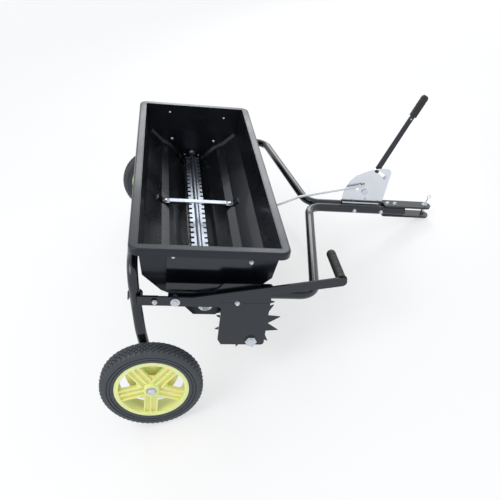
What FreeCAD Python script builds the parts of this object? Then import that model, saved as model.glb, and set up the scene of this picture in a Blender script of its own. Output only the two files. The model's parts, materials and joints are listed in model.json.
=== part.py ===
# Tow-behind aerator spreader: a drop hopper over a reel of star spikers, on two lifting wheels.
#
# Every piece is drawn in the machine's own frame: X forward to the hitch, Y to the left, Z up,
# with the datum in the middle of the hopper's top face. The whole machine is then tipped onto
# its wheels and the tip of its hitch, which is how it parks when it is unhitched.
import FreeCAD
import Part
import Sketcher
import math
import os
import re

Vector = FreeCAD.Vector

# Driving dimensions, in millimetres or degrees. Drops and depths are measured down from the datum,
# reaches forward of it, backs behind it, and sides out from the machine's middle plane.
SIZES = {
    # fits: a seat, a turning fit, a running gap, and how far one moulded form runs into the next
    "seatGap": 0.3,
    "pinFit": 0.08,
    "moveGap": 5.0,
    "rootSink": 1.0,
    # hopper: leaning walls above a shoulder, then a trough with a folded ledge
    "hopperLength": 914.0,
    "hopperWidth": 372.0,
    "sheetWall": 2.0,
    "rimFlange": 22.0,
    "rimLip": 18.0,
    "rimCorner": 26.0,
    "rimRoll": 5.0,
    "shoulderDepth": 88.0,
    "wallLean": 13.0,
    "endLean": 7.0,
    "wallRun": 44.0,
    "ledgeDepth": 130.0,
    "ledgeWidth": 22.0,
    "ledgeFall": 10.0,
    "throatDepth": 200.0,
    "throatWidth": 56.0,
    # drop holes in the throat, and the shutter that slides under them
    "dropHoleLong": 22.0,
    "dropHoleWide": 12.0,
    "dropHolePitch": 66.0,
    "dropHoleMargin": 30.0,
    "shutterThick": 3.0,
    "shutterGap": 0.6,
    "shutterEar": 24.0,
    "shutterBack": 22.0,
    "guideSheet": 2.5,
    "guideWide": 14.0,
    # brace across the hopper
    "braceSink": 4.0,
    "braceWidth": 25.0,
    "braceThick": 4.0,
    "bracketSheet": 2.5,
    "braceTab": 28.0,
    "braceFlange": 12.0,
    # agitator
    "agitatorDrop": 172.0,
    "agitatorShaft": 16.0,
    "agitatorReach": 23.0,
    "agitatorEnd": 16.0,
    "bladeThick": 3.0,
    "bladeClear": 12.0,
    "toothPitch": 12.0,
    "toothDepth": 6.0,
    "toothLean": 1.8,
    "toothGap": 3.6,
    "bearingFlange": 36.0,
    "bearingThick": 3.0,
    # frame tubes
    "tubeDiameter": 25.4,
    "tubeWall": 2.0,
    "tubeGap": 3.3,
    "frameDrop": 122.0,
    "tubeBack": 50.0,
    "frameReach": 262.0,
    "tongueStart": 335.0,
    "tubeBend": 45.0,
    # side plates
    "plateThick": 4.0,
    "plateFront": 152.0,
    "plateStep": 35.0,
    "plateTop": 84.0,
    "plateBottom": 272.0,
    "plateCorner": 8.0,
    "armTop": 110.0,
    "armBottom": 154.0,
    "armEnd": 17.0,
    "armRise": 20.0,
    "armRound": 20.0,
    "chamferWide": 9.0,
    "chamferHigh": 16.0,
    # end brackets between the hopper and the side plates
    "bracketRear": 98.0,
    "bracketFront": 100.0,
    "bracketTop": 22.0,
    "bracketFlange": 20.0,
    # hitch
    "strapThick": 6.0,
    "strapWidth": 38.0,
    "strapLength": 155.0,
    "strapLap": 68.0,
    "hitchReach": 727.0,
    "hitchHole": 13.5,
    "strapRound": 18.8,
    # wheel carrier: a bail of tube behind the hopper whose legs flare out past the side plates
    "pivotBack": 75.0,
    "pivotDrop": 132.0,
    "pivotPin": 12.0,
    "pivotSpacer": 22.0,
    "pivotHead": 4.0,
    "bailBack": 176.0,
    "bailDrop": 60.0,
    "bailBend": 50.0,
    "kneeBack": 163.0,
    "kneeDrop": 160.0,
    "kneeBend": 45.0,
    "flareBack": 152.0,
    "flareDrop": 205.0,
    "footLength": 18.0,
    "axleBack": 121.5,
    "axleDrop": 342.0,
    "axleDiameter": 12.7,
    "axleCollar": 24.0,
    "axleEnd": 7.0,
    "clampSheet": 3.0,
    "clampHeight": 22.0,
    "clampBolt": 9.0,
    "clampBoltHead": 15.0,
    "clampBoltBack": 123.0,
    # wheels
    "tyreRadius": 124.0,
    "tyreWidth": 44.0,
    "tyreBulge": 8.0,
    "tyreShoulder": 12.0,
    "tyreShoulderFace": 3.0,
    "tyreCrownEdge": 8.0,
    "tyreCrownFall": 3.5,
    "rimRadius": 89.0,
    "rimWidth": 40.0,
    "rimLipHigh": 6.0,
    "rimLipWide": 3.0,
    "rimWall": 4.0,
    "wheelGap": 5.0,
    "wheelHub": 38.0,
    "starDiameter": 76.0,
    "spokeWeb": 4.0,
    "spokeWide": 33.0,
    "spokeRib": 3.5,
    "spokeRise": 7.0,
    "spokeRecess": 9.0,
    # transport lever
    "leverThick": 5.0,
    "leverWide": 25.0,
    "leverGap": 5.0,
    "leverRound": 11.9,
    "leverBend": 40.0,
    "leverReach": 324.0,
    "leverDrop": 61.0,
    "gripLength": 118.0,
    "gripDiameter": 27.0,
    "gripRound": 8.0,
    # spiker reel
    "reelForward": 118.0,
    "reelDrop": 258.0,
    "reelShaft": 19.0,
    "reelNut": 30.0,
    "reelNutThick": 6.0,
    "reelTip": 2.0,
    "discRadius": 86.0,
    "discRoot": 52.0,
    "discThick": 3.0,
    "discPitch": 88.0,
    "discHub": 34.0,
    "discHubLong": 26.0,
    # flow control
    "quadrantPivot": 500.0,
    "quadrantDrop": 64.0,
    "quadrantThick": 3.0,
    "quadrantSide": 5.0,
    "quadrantRadius": 80.0,
    "quadrantRear": 60.0,
    "quadrantFront": 57.6,
    "quadrantNose": 72.0,
    "quadrantNoseHigh": 70.4,
    "quadrantHeel": 49.6,
    "quadrantHeelHigh": 48.0,
    "quadrantWaist": 65.6,
    "quadrantBase": 48.0,
    "quadrantRound": 20.0,
    "slotWide": 7.0,
    "slotStart": 44.0,
    "slotEnd": 74.0,
    "flowSwing": 50.0,
    "flowPivot": 10.0,
    "flowPivotHead": 18.0,
    "flowLeverLength": 322.0,
    "flowLeverLean": 20.0,
    "flowLeverWide": 14.0,
    "flowLeverThick": 4.0,
    "flowLeverSide": 2.0,
    "flowLeverHeel": 8.4,
    "flowLeverRound": 6.5,
    "flowGripLong": 84.0,
    "flowGripWide": 21.0,
    "flowGripThick": 12.0,
    "rodDiameter": 7.0,
    "rodEyeRadius": 26.0,
    "rodEyeAngle": 110.0,
    "rodSlack": 0.5,
    "rodSide": 16.0,
    "rodCrank": 300.0,
    "rodCrankDrop": 88.0,
    "rodHook": 32.0,
    "rodPlay": 3.2,
    "rodEnd": 18.0,
    "rodDrop": 9.0,
    "rodBend": 12.0,
    "rodLongBend": 36.0,
    "rodHookBend": 5.25,
}
DISCS = 10
DISC_POINTS = 12
SPOKES = 5

# Places that follow from the sizes, each worked out from the ones it leans on.
PLACES = {
    "mouthHalf": "hopperWidth / 2 - rimFlange",
    "mouthEnd": "hopperLength / 2 - rimFlange",
    "shoulderHalf": "mouthHalf - wallLean",
    "endInner": "mouthEnd - endLean",
    "endFace": "endInner + sheetWall",
    "ledgeHalf": "shoulderHalf - wallRun",
    "ledgeInner": "ledgeHalf - ledgeWidth",
    "ledgeDrop": "ledgeDepth + ledgeFall",
    "ledgeSlope": "ledgeFall / ledgeWidth",
    "braceDrop": "ledgeDepth + braceSink",
    "wallSlope": "(ledgeDepth - shoulderDepth) / wallRun",
    "throatSlope": "(throatDepth - ledgeDrop) / (ledgeInner - throatWidth / 2)",
    "throatSkin": "sheetWall * sqrt(1 + throatSlope * throatSlope)",
    "floorUnder": "throatDepth + sheetWall",
    "shutterTop": "floorUnder + shutterGap",
    "shutterUnder": "shutterTop + shutterThick",
    "guideHalf": "throatWidth / 2 + shutterBack + moveGap",
    "rodLow": "shutterUnder + rodDrop",
    "guideSpacing": "2 * discPitch",
    "tubeRadius": "tubeDiameter / 2",
    "tubeSide": "endFace + tubeGap + tubeRadius",
    "tongueSide": "tubeRadius + seatGap / 2",
    "plateInner": "tubeSide + tubeRadius + seatGap",
    "plateOuter": "plateInner + plateThick",
    "leverInner": "plateOuter + leverGap",
    "leverOuter": "leverInner + leverThick",
    "legSide": "leverInner - seatGap - tubeRadius",
    "legLean": "(bailBack - kneeBack) / (kneeDrop - bailDrop)",
    "clampBack": "kneeBack + legLean * (kneeDrop - pivotDrop)",
    "clampInside": "tubeRadius + seatGap + legLean * clampHeight / 2",
    "flareSide": "plateOuter + seatGap + reelNutThick + reelTip + moveGap + tubeRadius",
    "wheelSide": "flareSide + tubeRadius + wheelGap + tyreWidth / 2",
    "axleTip": "wheelSide + tyreWidth / 2 + axleEnd",
    "strapUpper": "frameDrop - tubeRadius",
    "strapLower": "frameDrop + tubeRadius",
    "pinReach": "hitchReach - strapWidth / 2",
    "strapStart": "hitchReach - strapLength",
    "tongueEnd": "strapStart + strapLap",
    "quadrantFoot": "frameDrop - tubeRadius",
}

doc = FreeCAD.newDocument("AeratorSpreader")
sheet = doc.addObject("Spreadsheet::Sheet", "sizes")
cells = [(alias, str(value)) for alias, value in SIZES.items()]
cells += [(alias, "=" + formula) for alias, formula in PLACES.items()]
for row, (alias, content) in enumerate(cells, start=1):
    sheet.set("A%d" % row, alias)
    sheet.set("B%d" % row, content)
    sheet.setAlias("B%d" % row, alias)
doc.recompute()

ALIASES = set(SIZES) | set(PLACES)
RIGHT = 1
LEFT = -1
SIDES = {"right": RIGHT, "left": LEFT}
nodes = []


# ---- helpers: sizes from the sheet, sketches bound to it, and the features made from them


def bound(formula):
    """The formula with each size named in full, as an object outside the sheet needs it."""
    return re.sub(r"[A-Za-z]\w*", lambda word: ("sizes." if word.group() in ALIASES else "") + word.group(),
                  str(formula))


def size(formula):
    return float(sheet.evalExpression(bound(formula)))


def newBody(label):
    body = doc.addObject("PartDesign::Body", label)
    body.Label = label
    nodes.append(body)
    return body


def newFeature(label, shape):
    piece = doc.addObject("Part::Feature", label)
    piece.Label = label
    piece.Shape = shape
    nodes.append(piece)
    return piece


def newSketch(body, name, plane, origin=("0", "0", "0")):
    """A sketch on one of the body's origin planes, its own origin shifted along its x, y and normal."""
    sketch = body.newObject("Sketcher::SketchObject", body.Name + "_" + name)
    face = next(item for item in body.Origin.OriginFeatures if item.Role == plane)
    sketch.AttachmentSupport = [(face, "")]
    sketch.MapMode = "FlatFace"
    for axis, formula in zip("xyz", origin):
        if formula != "0":
            sketch.setExpression("AttachmentOffset.Base." + axis, bound(formula))
    return sketch


def fixPoint(sketch, geometry, point, x, y):
    """Ties one point to the sketch's origin by two formulas."""
    for kind, formula, axis in (("DistanceX", x, -2), ("DistanceY", y, -1)):
        if formula == "0":
            sketch.addConstraint(Sketcher.Constraint("PointOnObject", geometry, point, axis))
            continue
        index = sketch.addConstraint(Sketcher.Constraint(kind, -1, 1, geometry, point, size(formula)))
        sketch.setExpression("Constraints[%d]" % index, bound(formula))


def addCircle(sketch, x, y, diameter):
    centre = Vector(size(x), size(y), 0)
    index = sketch.addGeometry(Part.Circle(centre, Vector(0, 0, 1), size(diameter) / 2), False)
    fixPoint(sketch, index, 3, x, y)
    limit = sketch.addConstraint(Sketcher.Constraint("Diameter", index, size(diameter)))
    sketch.setExpression("Constraints[%d]" % limit, bound(diameter))


def cornerArc(corner, before, after, radius):
    """Tangent points and arc that round one corner."""
    back = (before - corner).normalize()
    onward = (after - corner).normalize()
    half = back.getAngle(onward) / 2
    one = corner + back * (radius / math.tan(half))
    two = corner + onward * (radius / math.tan(half))
    centre = corner + (back + onward).normalize() * (radius / math.sin(half))
    start = math.atan2(one.y - centre.y, one.x - centre.x)
    end = math.atan2(two.y - centre.y, two.x - centre.x)
    forward = (end - start) % (2 * math.pi) < math.pi
    if not forward:
        start, end = end, start
    arc = Part.ArcOfCircle(Part.Circle(centre, Vector(0, 0, 1), radius), start, end)
    return one, two, arc, forward


def addOutline(sketch, corners, radii=None, closed=True):
    """Lines through corners given as pairs of formulas; radii names the corners to round, by index."""
    radii = radii or {}
    spots = [Vector(size(x), size(y), 0) for x, y in corners]
    count = len(spots)
    rounds = {i: cornerArc(spots[i], spots[i - 1], spots[(i + 1) % count], size(r)) for i, r in radii.items()}
    leave = [rounds[i][1] if i in rounds else spot for i, spot in enumerate(spots)]
    reach = [rounds[i][0] if i in rounds else spot for i, spot in enumerate(spots)]
    runs = count if closed else count - 1
    lines = [sketch.addGeometry(Part.LineSegment(leave[i], reach[(i + 1) % count]), False) for i in range(runs)]
    for i, (x, y) in enumerate(corners):
        first = not closed and i == 0
        last = not closed and i == count - 1
        before = None if first else lines[i - 1]
        after = None if last else lines[i]
        if i not in rounds:
            if not first and not last:
                sketch.addConstraint(Sketcher.Constraint("Coincident", before, 2, after, 1))
            geometry, point = (before, 2) if last else (after, 1)
            fixPoint(sketch, geometry, point, x, y)
            continue
        one, two, arc, forward = rounds[i]
        bend = sketch.addGeometry(arc, False)
        mark = sketch.addGeometry(Part.Point(spots[i]), True)
        fixPoint(sketch, mark, 1, x, y)
        sketch.addConstraint([
            Sketcher.Constraint("PointOnObject", mark, 1, before),
            Sketcher.Constraint("PointOnObject", mark, 1, after),
            Sketcher.Constraint("Tangent", before, 2, bend, 1 if forward else 2),
            Sketcher.Constraint("Tangent", bend, 2 if forward else 1, after, 1),
        ])
        limit = sketch.addConstraint(Sketcher.Constraint("Radius", bend, size(radii[i])))
        sketch.setExpression("Constraints[%d]" % limit, bound(radii[i]))


def addBox(sketch, x0, y0, x1, y1, radius=None):
    corners = [(x0, y0), (x1, y0), (x1, y1), (x0, y1)]
    addOutline(sketch, corners, {i: radius for i in range(4)} if radius else None)


def pad(body, sketch, length, flip=False, both=False):
    made = body.newObject("PartDesign::Pad", sketch.Name + "_pad")
    made.Profile = sketch
    made.setExpression("Length", bound(length))
    made.Reversed = flip
    made.SideType = "Symmetric" if both else "One side"
    return made


def pocket(body, sketch, length, flip=False, both=False):
    doc.recompute()
    before = body.Shape.Volume
    made = body.newObject("PartDesign::Pocket", sketch.Name + "_pocket")
    made.Profile = sketch
    made.setExpression("Length", bound(length))
    made.Reversed = flip
    made.SideType = "Symmetric" if both else "One side"
    doc.recompute()
    if body.Shape.Volume >= before:
        raise RuntimeError("a pocket cut nothing: " + made.Name)
    return made


def revolve(body, sketch, kind="PartDesign::Revolution"):
    made = body.newObject(kind, sketch.Name + "_turned")
    made.Profile = sketch
    made.ReferenceAxis = (sketch, ["V_Axis"])
    made.Angle = 360
    return made


def linear(body, features, sketch, axis, length, count):
    made = body.newObject("PartDesign::LinearPattern", features[0].Name + "_row")
    made.Originals = features
    made.Direction = (sketch, [axis])
    made.setExpression("Length", bound(length))
    made.Occurrences = count
    body.Tip = made
    return made


def polar(body, features, sketch, count):
    made = body.newObject("PartDesign::PolarPattern", features[0].Name + "_ring")
    made.Originals = features
    made.Axis = (sketch, ["N_Axis"])
    made.Angle = 360
    made.Occurrences = count
    body.Tip = made
    return made


def rounded(body, radius, chosen):
    """A fillet on the edges of the body's last shape that the test picks."""
    doc.recompute()
    tip = body.Tip
    edges = ["Edge%d" % (i + 1) for i, edge in enumerate(tip.Shape.Edges) if chosen(edge)]
    made = body.newObject("PartDesign::Fillet", body.Name + "_round")
    made.Base = (tip, edges)
    made.setExpression("Radius", bound(radius))
    body.Tip = made
    return made


def outwards(side, formula):
    """Distance along the normal of an XZ sketch, which points to the right."""
    return formula if side == RIGHT else "-(%s)" % formula


def sideSketch(body, name, side, distance, origin=("0", "0")):
    return newSketch(body, name, "XZ_Plane", (origin[0], origin[1], outwards(side, distance)))


def padOut(body, sketch, side, length):
    return pad(body, sketch, length, flip=side == LEFT)


def rod(start, end, radius):
    return Part.makeCylinder(radius, (end - start).Length, start, end - start)


def bentRod(points, bends, radius):
    """A round bar along straight runs joined by tangent arcs, one bend radius for each inner point."""
    edges = []
    last = points[0]
    for before, here, after, bend in zip(points, points[1:], points[2:], bends):
        back = (before - here).normalize()
        onward = (after - here).normalize()
        half = back.getAngle(onward) / 2
        one = here + back * (bend / math.tan(half))
        two = here + onward * (bend / math.tan(half))
        centre = here + (back + onward).normalize() * (bend / math.sin(half))
        peak = centre + (here - centre).normalize() * bend
        edges += [Part.LineSegment(last, one).toShape(), Part.Arc(one, peak, two).toShape()]
        last = two
    edges.append(Part.LineSegment(last, points[-1]).toShape())
    ring = Part.Wire([Part.makeCircle(radius, points[0], points[1] - points[0])])
    return Part.Wire(edges).makePipeShell([ring], True, False)


# ---- hopper


def troughSketch(body, name):
    sketch = newSketch(body, name, "XZ_Plane")
    right = [("shoulderHalf", "-shoulderDepth"), ("ledgeHalf", "-ledgeDepth"), ("ledgeInner", "-ledgeDrop"),
             ("throatWidth / 2", "-throatDepth")]
    left = [("-(%s)" % x, y) for x, y in reversed(right)]
    addOutline(sketch, right + left)
    return sketch


def dropHoles(body, depth, start, end):
    """A row of slots along the throat, through the sheet at a depth."""
    span = size("2 * (mouthEnd - dropHoleMargin)")
    count = int(span / size("dropHolePitch")) + 1
    first = "-%d * dropHolePitch" % (count - 1) + " / 2"
    sketch = newSketch(body, "slots", "XY_Plane", ("0", "0", "-(%s)" % depth))
    addBox(sketch, start, first + " - dropHoleWide / 2", end, first + " + dropHoleWide / 2")
    hole = pocket(body, sketch, "3 * shutterThick", both=True)
    linear(body, [hole], sketch, "V_Axis", "%d * dropHolePitch" % (count - 1), count)


def makeHopper():
    """Folded sheet: the inside is built solid, then thickened outwards and left open at the top."""
    body = newBody("hopper_body")
    mouth = newSketch(body, "mouth", "XY_Plane")
    addBox(mouth, "-mouthHalf", "-mouthEnd", "mouthHalf", "mouthEnd")
    shoulder = newSketch(body, "shoulder", "XY_Plane", ("0", "0", "-shoulderDepth"))
    addBox(shoulder, "-shoulderHalf", "-endInner", "shoulderHalf", "endInner")
    walls = body.newObject("PartDesign::AdditiveLoft", "hopper_walls")
    walls.Profile = mouth
    walls.Sections = [shoulder]
    walls.Ruled = True
    trough = pad(body, troughSketch(body, "trough"), "2 * endInner", both=True)
    doc.recompute()
    shape = trough.Shape
    tops = ["Face%d" % (i + 1) for i, face in enumerate(shape.Faces) if abs(face.BoundBox.ZMin) < 0.001]
    shell = body.newObject("PartDesign::Thickness", "hopper_shell")
    shell.Base = (trough, tops)
    shell.setExpression("Value", bound("sheetWall"))
    shell.Join = "Intersection"
    shell.Reversed = False
    body.Tip = shell
    bores = newSketch(body, "bores", "XZ_Plane", ("0", "-agitatorDrop", "0"))
    addCircle(bores, "0", "0", "agitatorShaft + 2 * bearingThick + 2 * seatGap")
    pocket(body, bores, "2 * endFace + 4 * sheetWall", both=True)
    dropHoles(body, "throatDepth", "-dropHoleLong / 2", "dropHoleLong / 2")


def makeRim():
    """A flange round the mouth, rolled over its edge into a lip."""
    body = newBody("hopper_rim")
    top = newSketch(body, "top", "XY_Plane")
    addBox(top, "-hopperWidth / 2", "-hopperLength / 2", "hopperWidth / 2", "hopperLength / 2", "rimCorner")
    pad(body, top, "rimLip", flip=True)
    rounded(body, "rimRoll", lambda edge: edge.BoundBox.ZMin > -0.01)
    under = newSketch(body, "under", "XY_Plane", ("0", "0", "-rimLip"))
    across = "hopperWidth / 2 - sheetWall"
    along = "hopperLength / 2 - sheetWall"
    addBox(under, "-(%s)" % across, "-(%s)" % along, across, along, "rimCorner - sheetWall")
    pocket(body, under, "rimLip - sheetWall", flip=True)
    mouth = newSketch(body, "opening", "XY_Plane")
    wide = "mouthHalf + sheetWall + seatGap"
    long = "mouthEnd + sheetWall + seatGap"
    addBox(mouth, "-(%s)" % wide, "-(%s)" % long, wide, long)
    pocket(body, mouth, "3 * sheetWall", both=True)


def makeShutter():
    """A strip under the throat with slots half a step off, and an ear that the control rod hooks into."""
    body = newBody("rate_shutter")
    strip = newSketch(body, "strip", "XY_Plane", ("0", "0", "-shutterUnder"))
    addBox(strip, "-throatWidth / 2", "-endInner + seatGap", "throatWidth / 2", "endInner - seatGap")
    pad(body, strip, "shutterThick")
    ear = newSketch(body, "ear", "XZ_Plane", ("0", "0", "flowLeverThick"))
    addBox(ear, "rodEnd - shutterEar / 2", "-rodLow - shutterEar / 2", "rodEnd + shutterEar / 2",
           "-shutterUnder")
    addCircle(ear, "rodEnd", "-rodLow", "rodDiameter + 2 * rodPlay")
    pad(body, ear, "flowLeverThick")
    dropHoles(body, "shutterUnder - shutterThick / 2", "dropHoleLong / 2 + seatGap", "dropHoleLong + seatGap")


def makeBrace():
    """A flat bar from ledge to ledge, under a folded bracket at each end that follows the ledge and wall."""
    body = newBody("hopper_brace")
    bar = newSketch(body, "bar", "XY_Plane", ("0", "0", "-braceDrop"))
    addBox(bar, "-ledgeInner", "-braceWidth / 2", "ledgeInner", "braceWidth / 2", "braceThick")
    pad(body, bar, "braceThick", flip=True)
    low = "-braceDrop + seatGap"
    touch = "ledgeHalf - (braceSink - seatGap) / ledgeSlope - 2 * seatGap"
    rise = "braceFlange * wallSlope"
    section = [("ledgeInner - braceTab", low), (touch, low),
               ("ledgeHalf - seatGap", "-ledgeDepth + 2 * seatGap"),
               ("ledgeHalf - seatGap + braceFlange", "-ledgeDepth + 2 * seatGap + " + rise),
               ("ledgeHalf - bracketSheet + braceFlange", "-ledgeDepth + bracketSheet + " + rise),
               ("ledgeHalf - bracketSheet", "-ledgeDepth + seatGap + bracketSheet"),
               (touch + " - bracketSheet / 2", low + " + bracketSheet"),
               ("ledgeInner - braceTab", low + " + bracketSheet")]
    body = newBody("brace_brackets")
    for name, sign in (("front", ""), ("rear", "-")):
        fold = newSketch(body, name, "XZ_Plane")
        addOutline(fold, [(sign + "(%s)" % x, z) for x, z in section])
        pad(body, fold, "braceWidth", both=True)


def makeGuides():
    """Folded straps that carry the shutter and leave it room to slide, each midway between two discs."""
    wall = "guideSheet"
    foot = "-shutterUnder - seatGap"
    outer = "-throatDepth - throatSkin - seatGap + (guideHalf + guideSheet - throatWidth / 2) * throatSlope"
    inner = "-throatDepth - throatSkin - seatGap + (guideHalf - throatWidth / 2) * throatSlope"
    right = [("guideHalf", foot), ("guideHalf", inner), ("guideHalf + " + wall, outer),
             ("guideHalf + " + wall, foot + " - " + wall)]
    left = [("-(%s)" % x, z) for x, z in reversed(right)]
    body = newBody("shutter_guides")
    span = "3 * guideSpacing"
    strap = newSketch(body, "strap", "XZ_Plane", ("0", "0", "-%s / 2" % span))
    addOutline(strap, right + left)
    row = pad(body, strap, "guideWide", both=True)
    linear(body, [row], strap, "N_Axis", span, 4)


# ---- agitator


def makeAgitator():
    """A shaft with two saw-toothed blades, in a flanged bearing at each end of the hopper."""
    body = newBody("agitator_shaft")
    round_ = newSketch(body, "section", "XZ_Plane", ("0", "-agitatorDrop", "0"))
    addCircle(round_, "0", "0", "agitatorShaft")
    pad(body, round_, "2 * (endFace + agitatorEnd)", both=True)
    body = newBody("agitator_blades")
    inner = "(endInner - bladeClear)"
    count = int(size("2 * " + inner) / size("toothPitch"))
    for name, sign in (("front", ""), ("rear", "-")):
        blade = newSketch(body, name, "XY_Plane", ("0", "0", "-agitatorDrop - bladeThick / 2"))
        addBox(blade, sign + "(agitatorShaft / 2)", "-" + inner, sign + "agitatorReach", inner)
        pad(body, blade, "bladeThick")
        tooth = newSketch(body, name + "Tooth", "XY_Plane", ("0", "0", "-agitatorDrop"))
        edge = sign + "(agitatorReach + seatGap)"
        root = sign + "(agitatorReach - toothDepth)"
        start = "-%s" % inner
        lean = start + " + toothLean"
        addOutline(tooth, [(edge, start), (root, lean), (root, lean + " + toothGap"),
                           (edge, lean + " + toothGap + toothLean")])
        notch = pocket(body, tooth, "2 * bladeThick", both=True)
        linear(body, [notch], tooth, "V_Axis", "%d * toothPitch" % (count - 1), count)
    for name, side in SIDES.items():
        body = newBody("agitator_bearing_" + name)
        flange = sideSketch(body, "flange", side, "endFace + seatGap", ("0", "-agitatorDrop"))
        addCircle(flange, "0", "0", "bearingFlange")
        addCircle(flange, "0", "0", "agitatorShaft + 2 * pinFit")
        padOut(body, flange, side, "bearingThick")
        barrel = sideSketch(body, "barrel", side, "endInner - bearingThick", ("0", "-agitatorDrop"))
        addCircle(barrel, "0", "0", "agitatorShaft + 2 * bearingThick")
        addCircle(barrel, "0", "0", "agitatorShaft + 2 * pinFit")
        padOut(body, barrel, side, "sheetWall + seatGap + 4 * bearingThick")


# ---- side plates, end brackets and frame


def makePlates():
    """Side plates: an arm back to the carrier's pivot and a leg down to the reel's shaft."""
    back = "-(pivotBack + armEnd)"
    corners = [(back, "-armTop"), (back, "-armBottom"), ("plateStep", "-armBottom"),
               ("plateStep", "-(plateBottom - chamferHigh)"), ("plateStep + chamferWide", "-plateBottom"),
               ("plateFront", "-plateBottom"), ("plateFront", "-plateTop"), ("plateStep", "-plateTop"),
               ("plateStep - armRise", "-armTop")]
    radii = {0: "plateCorner", 1: "armRound", 2: "plateCorner", 5: "plateCorner", 6: "plateCorner",
             7: "plateCorner", 8: "plateCorner"}
    for name, side in SIDES.items():
        body = newBody("side_plate_" + name)
        sketch = sideSketch(body, "outline", side, "plateInner")
        addOutline(sketch, corners, radii)
        addCircle(sketch, "-pivotBack", "-pivotDrop", "pivotPin + 2 * pinFit")
        addCircle(sketch, "reelForward", "-reelDrop", "reelShaft + 2 * pinFit")
        padOut(body, sketch, side, "plateThick")


def makeBrackets():
    """Folded from one sheet: up the hopper's leaning end, out over the frame tube, up the side plate."""
    wall = "bracketSheet"
    near = "endFace + seatGap"
    lean = "endLean * (shoulderDepth - bracketTop) / shoulderDepth"
    low = "-(strapUpper - seatGap)"
    plate = "plateInner - seatGap"
    section = [(near + " + " + lean, "-bracketTop"), (near, "-shoulderDepth"), (near, low), (plate, low),
               (plate, low + " + bracketFlange"), (plate + " - " + wall, low + " + bracketFlange"),
               (plate + " - " + wall, low + " + " + wall), (near + " + " + wall, low + " + " + wall),
               (near + " + " + wall, "-shoulderDepth"), (near + " + " + lean + " + " + wall, "-bracketTop")]
    for name, side in SIDES.items():
        body = newBody("end_bracket_" + name)
        sketch = newSketch(body, "section", "YZ_Plane", ("0", "0", "-bracketRear"))
        sign = "-" if side == RIGHT else ""
        addOutline(sketch, [(sign + "(%s)" % y, z) for y, z in section])
        pad(body, sketch, "bracketRear + bracketFront")


def makeFrameTubes():
    """Two tubes that run forward from the side plates, turn in, and meet side by side as the tongue."""
    for name, side in SIDES.items():
        sign = "-" if side == RIGHT else ""
        body = newBody("frame_tube_" + name)
        ring = newSketch(body, "ring", "YZ_Plane", (sign + "tubeSide", "-frameDrop", "-tubeBack"))
        addCircle(ring, "0", "0", "tubeDiameter")
        addCircle(ring, "0", "0", "tubeDiameter - 2 * tubeWall")
        path = newSketch(body, "path", "XY_Plane", ("0", "0", "-frameDrop"))
        corners = [("-tubeBack", sign + "tubeSide"), ("frameReach", sign + "tubeSide"),
                   ("tongueStart", sign + "tongueSide"), ("tongueEnd", sign + "tongueSide")]
        addOutline(path, corners, {1: "tubeBend", 2: "tubeBend"}, closed=False)
        doc.recompute()
        swept = body.newObject("PartDesign::AdditivePipe", "frame_tube_%s_swept" % name)
        swept.Profile = ring
        swept.Spine = path


def makeHitch():
    """Two straps over and under the tongue's end, with one hole through both for the hitch pin."""
    for name, z, flip in (("upper", "-strapUpper", False), ("lower", "-strapLower", True)):
        body = newBody("hitch_strap_" + name)
        sketch = newSketch(body, "outline", "XY_Plane", ("0", "0", z))
        corners = [("strapStart", "-strapWidth / 2"), ("hitchReach", "-strapWidth / 2"),
                   ("hitchReach", "strapWidth / 2"), ("strapStart", "strapWidth / 2")]
        addOutline(sketch, corners, {0: "strapThick", 1: "strapRound", 2: "strapRound", 3: "strapThick"})
        addCircle(sketch, "pinReach", "0", "hitchHole")
        pad(body, sketch, "strapThick", flip=flip)


# ---- wheel carrier


def makeBail():
    """The tube behind the hopper: its legs come down inside the levers, then flare out and forward."""
    foot = Vector(-size("axleBack"), 0, -size("axleDrop"))
    flare = Vector(-size("flareBack"), 0, -size("flareDrop"))
    tip = foot + (foot - flare).normalize() * size("footLength")
    out = Vector(0, size("flareSide"), 0)
    leg = Vector(0, size("legSide"), 0)
    knee = Vector(-size("kneeBack"), 0, -size("kneeDrop"))
    top = Vector(-size("bailBack"), 0, -size("bailDrop"))
    points = [tip + out, flare + out, knee + leg, top + leg, top - leg, knee - leg, flare - out, tip - out]
    bends = [size("kneeBend"), size("kneeBend"), size("bailBend")]
    bends += bends[::-1]
    radius = size("tubeRadius")
    outer = bentRod(points, bends, radius)
    bore = bentRod(points, bends, radius - size("tubeWall"))
    end = out * (1 + 2 * radius / out.Length)
    axle = rod(foot - end, foot + end, size("axleDiameter / 2 + pinFit"))
    newFeature("wheel_bail", outer.cut(bore).cut(axle))


def makeAxles():
    """A stub through each foot of the bail, with a collar that spaces the wheel and a nut that keeps it."""
    origin = ("-axleBack", "-axleDrop")
    for name, side in SIDES.items():
        body = newBody("axle_" + name)
        parts = (("stub", "flareSide - tubeRadius - axleEnd", "axleTip - flareSide + tubeRadius + axleEnd",
                  "axleDiameter"),
                 ("collar", "flareSide + tubeRadius + seatGap", "wheelGap - 2 * seatGap", "axleCollar"),
                 ("nut", "wheelSide + tyreWidth / 2 + seatGap", "axleEnd - 2 * seatGap", "axleCollar"))
        for part, start, length, diameter in parts:
            round_ = sideSketch(body, part, side, start, origin)
            addCircle(round_, "0", "0", diameter)
            padOut(body, round_, side, length)


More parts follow.
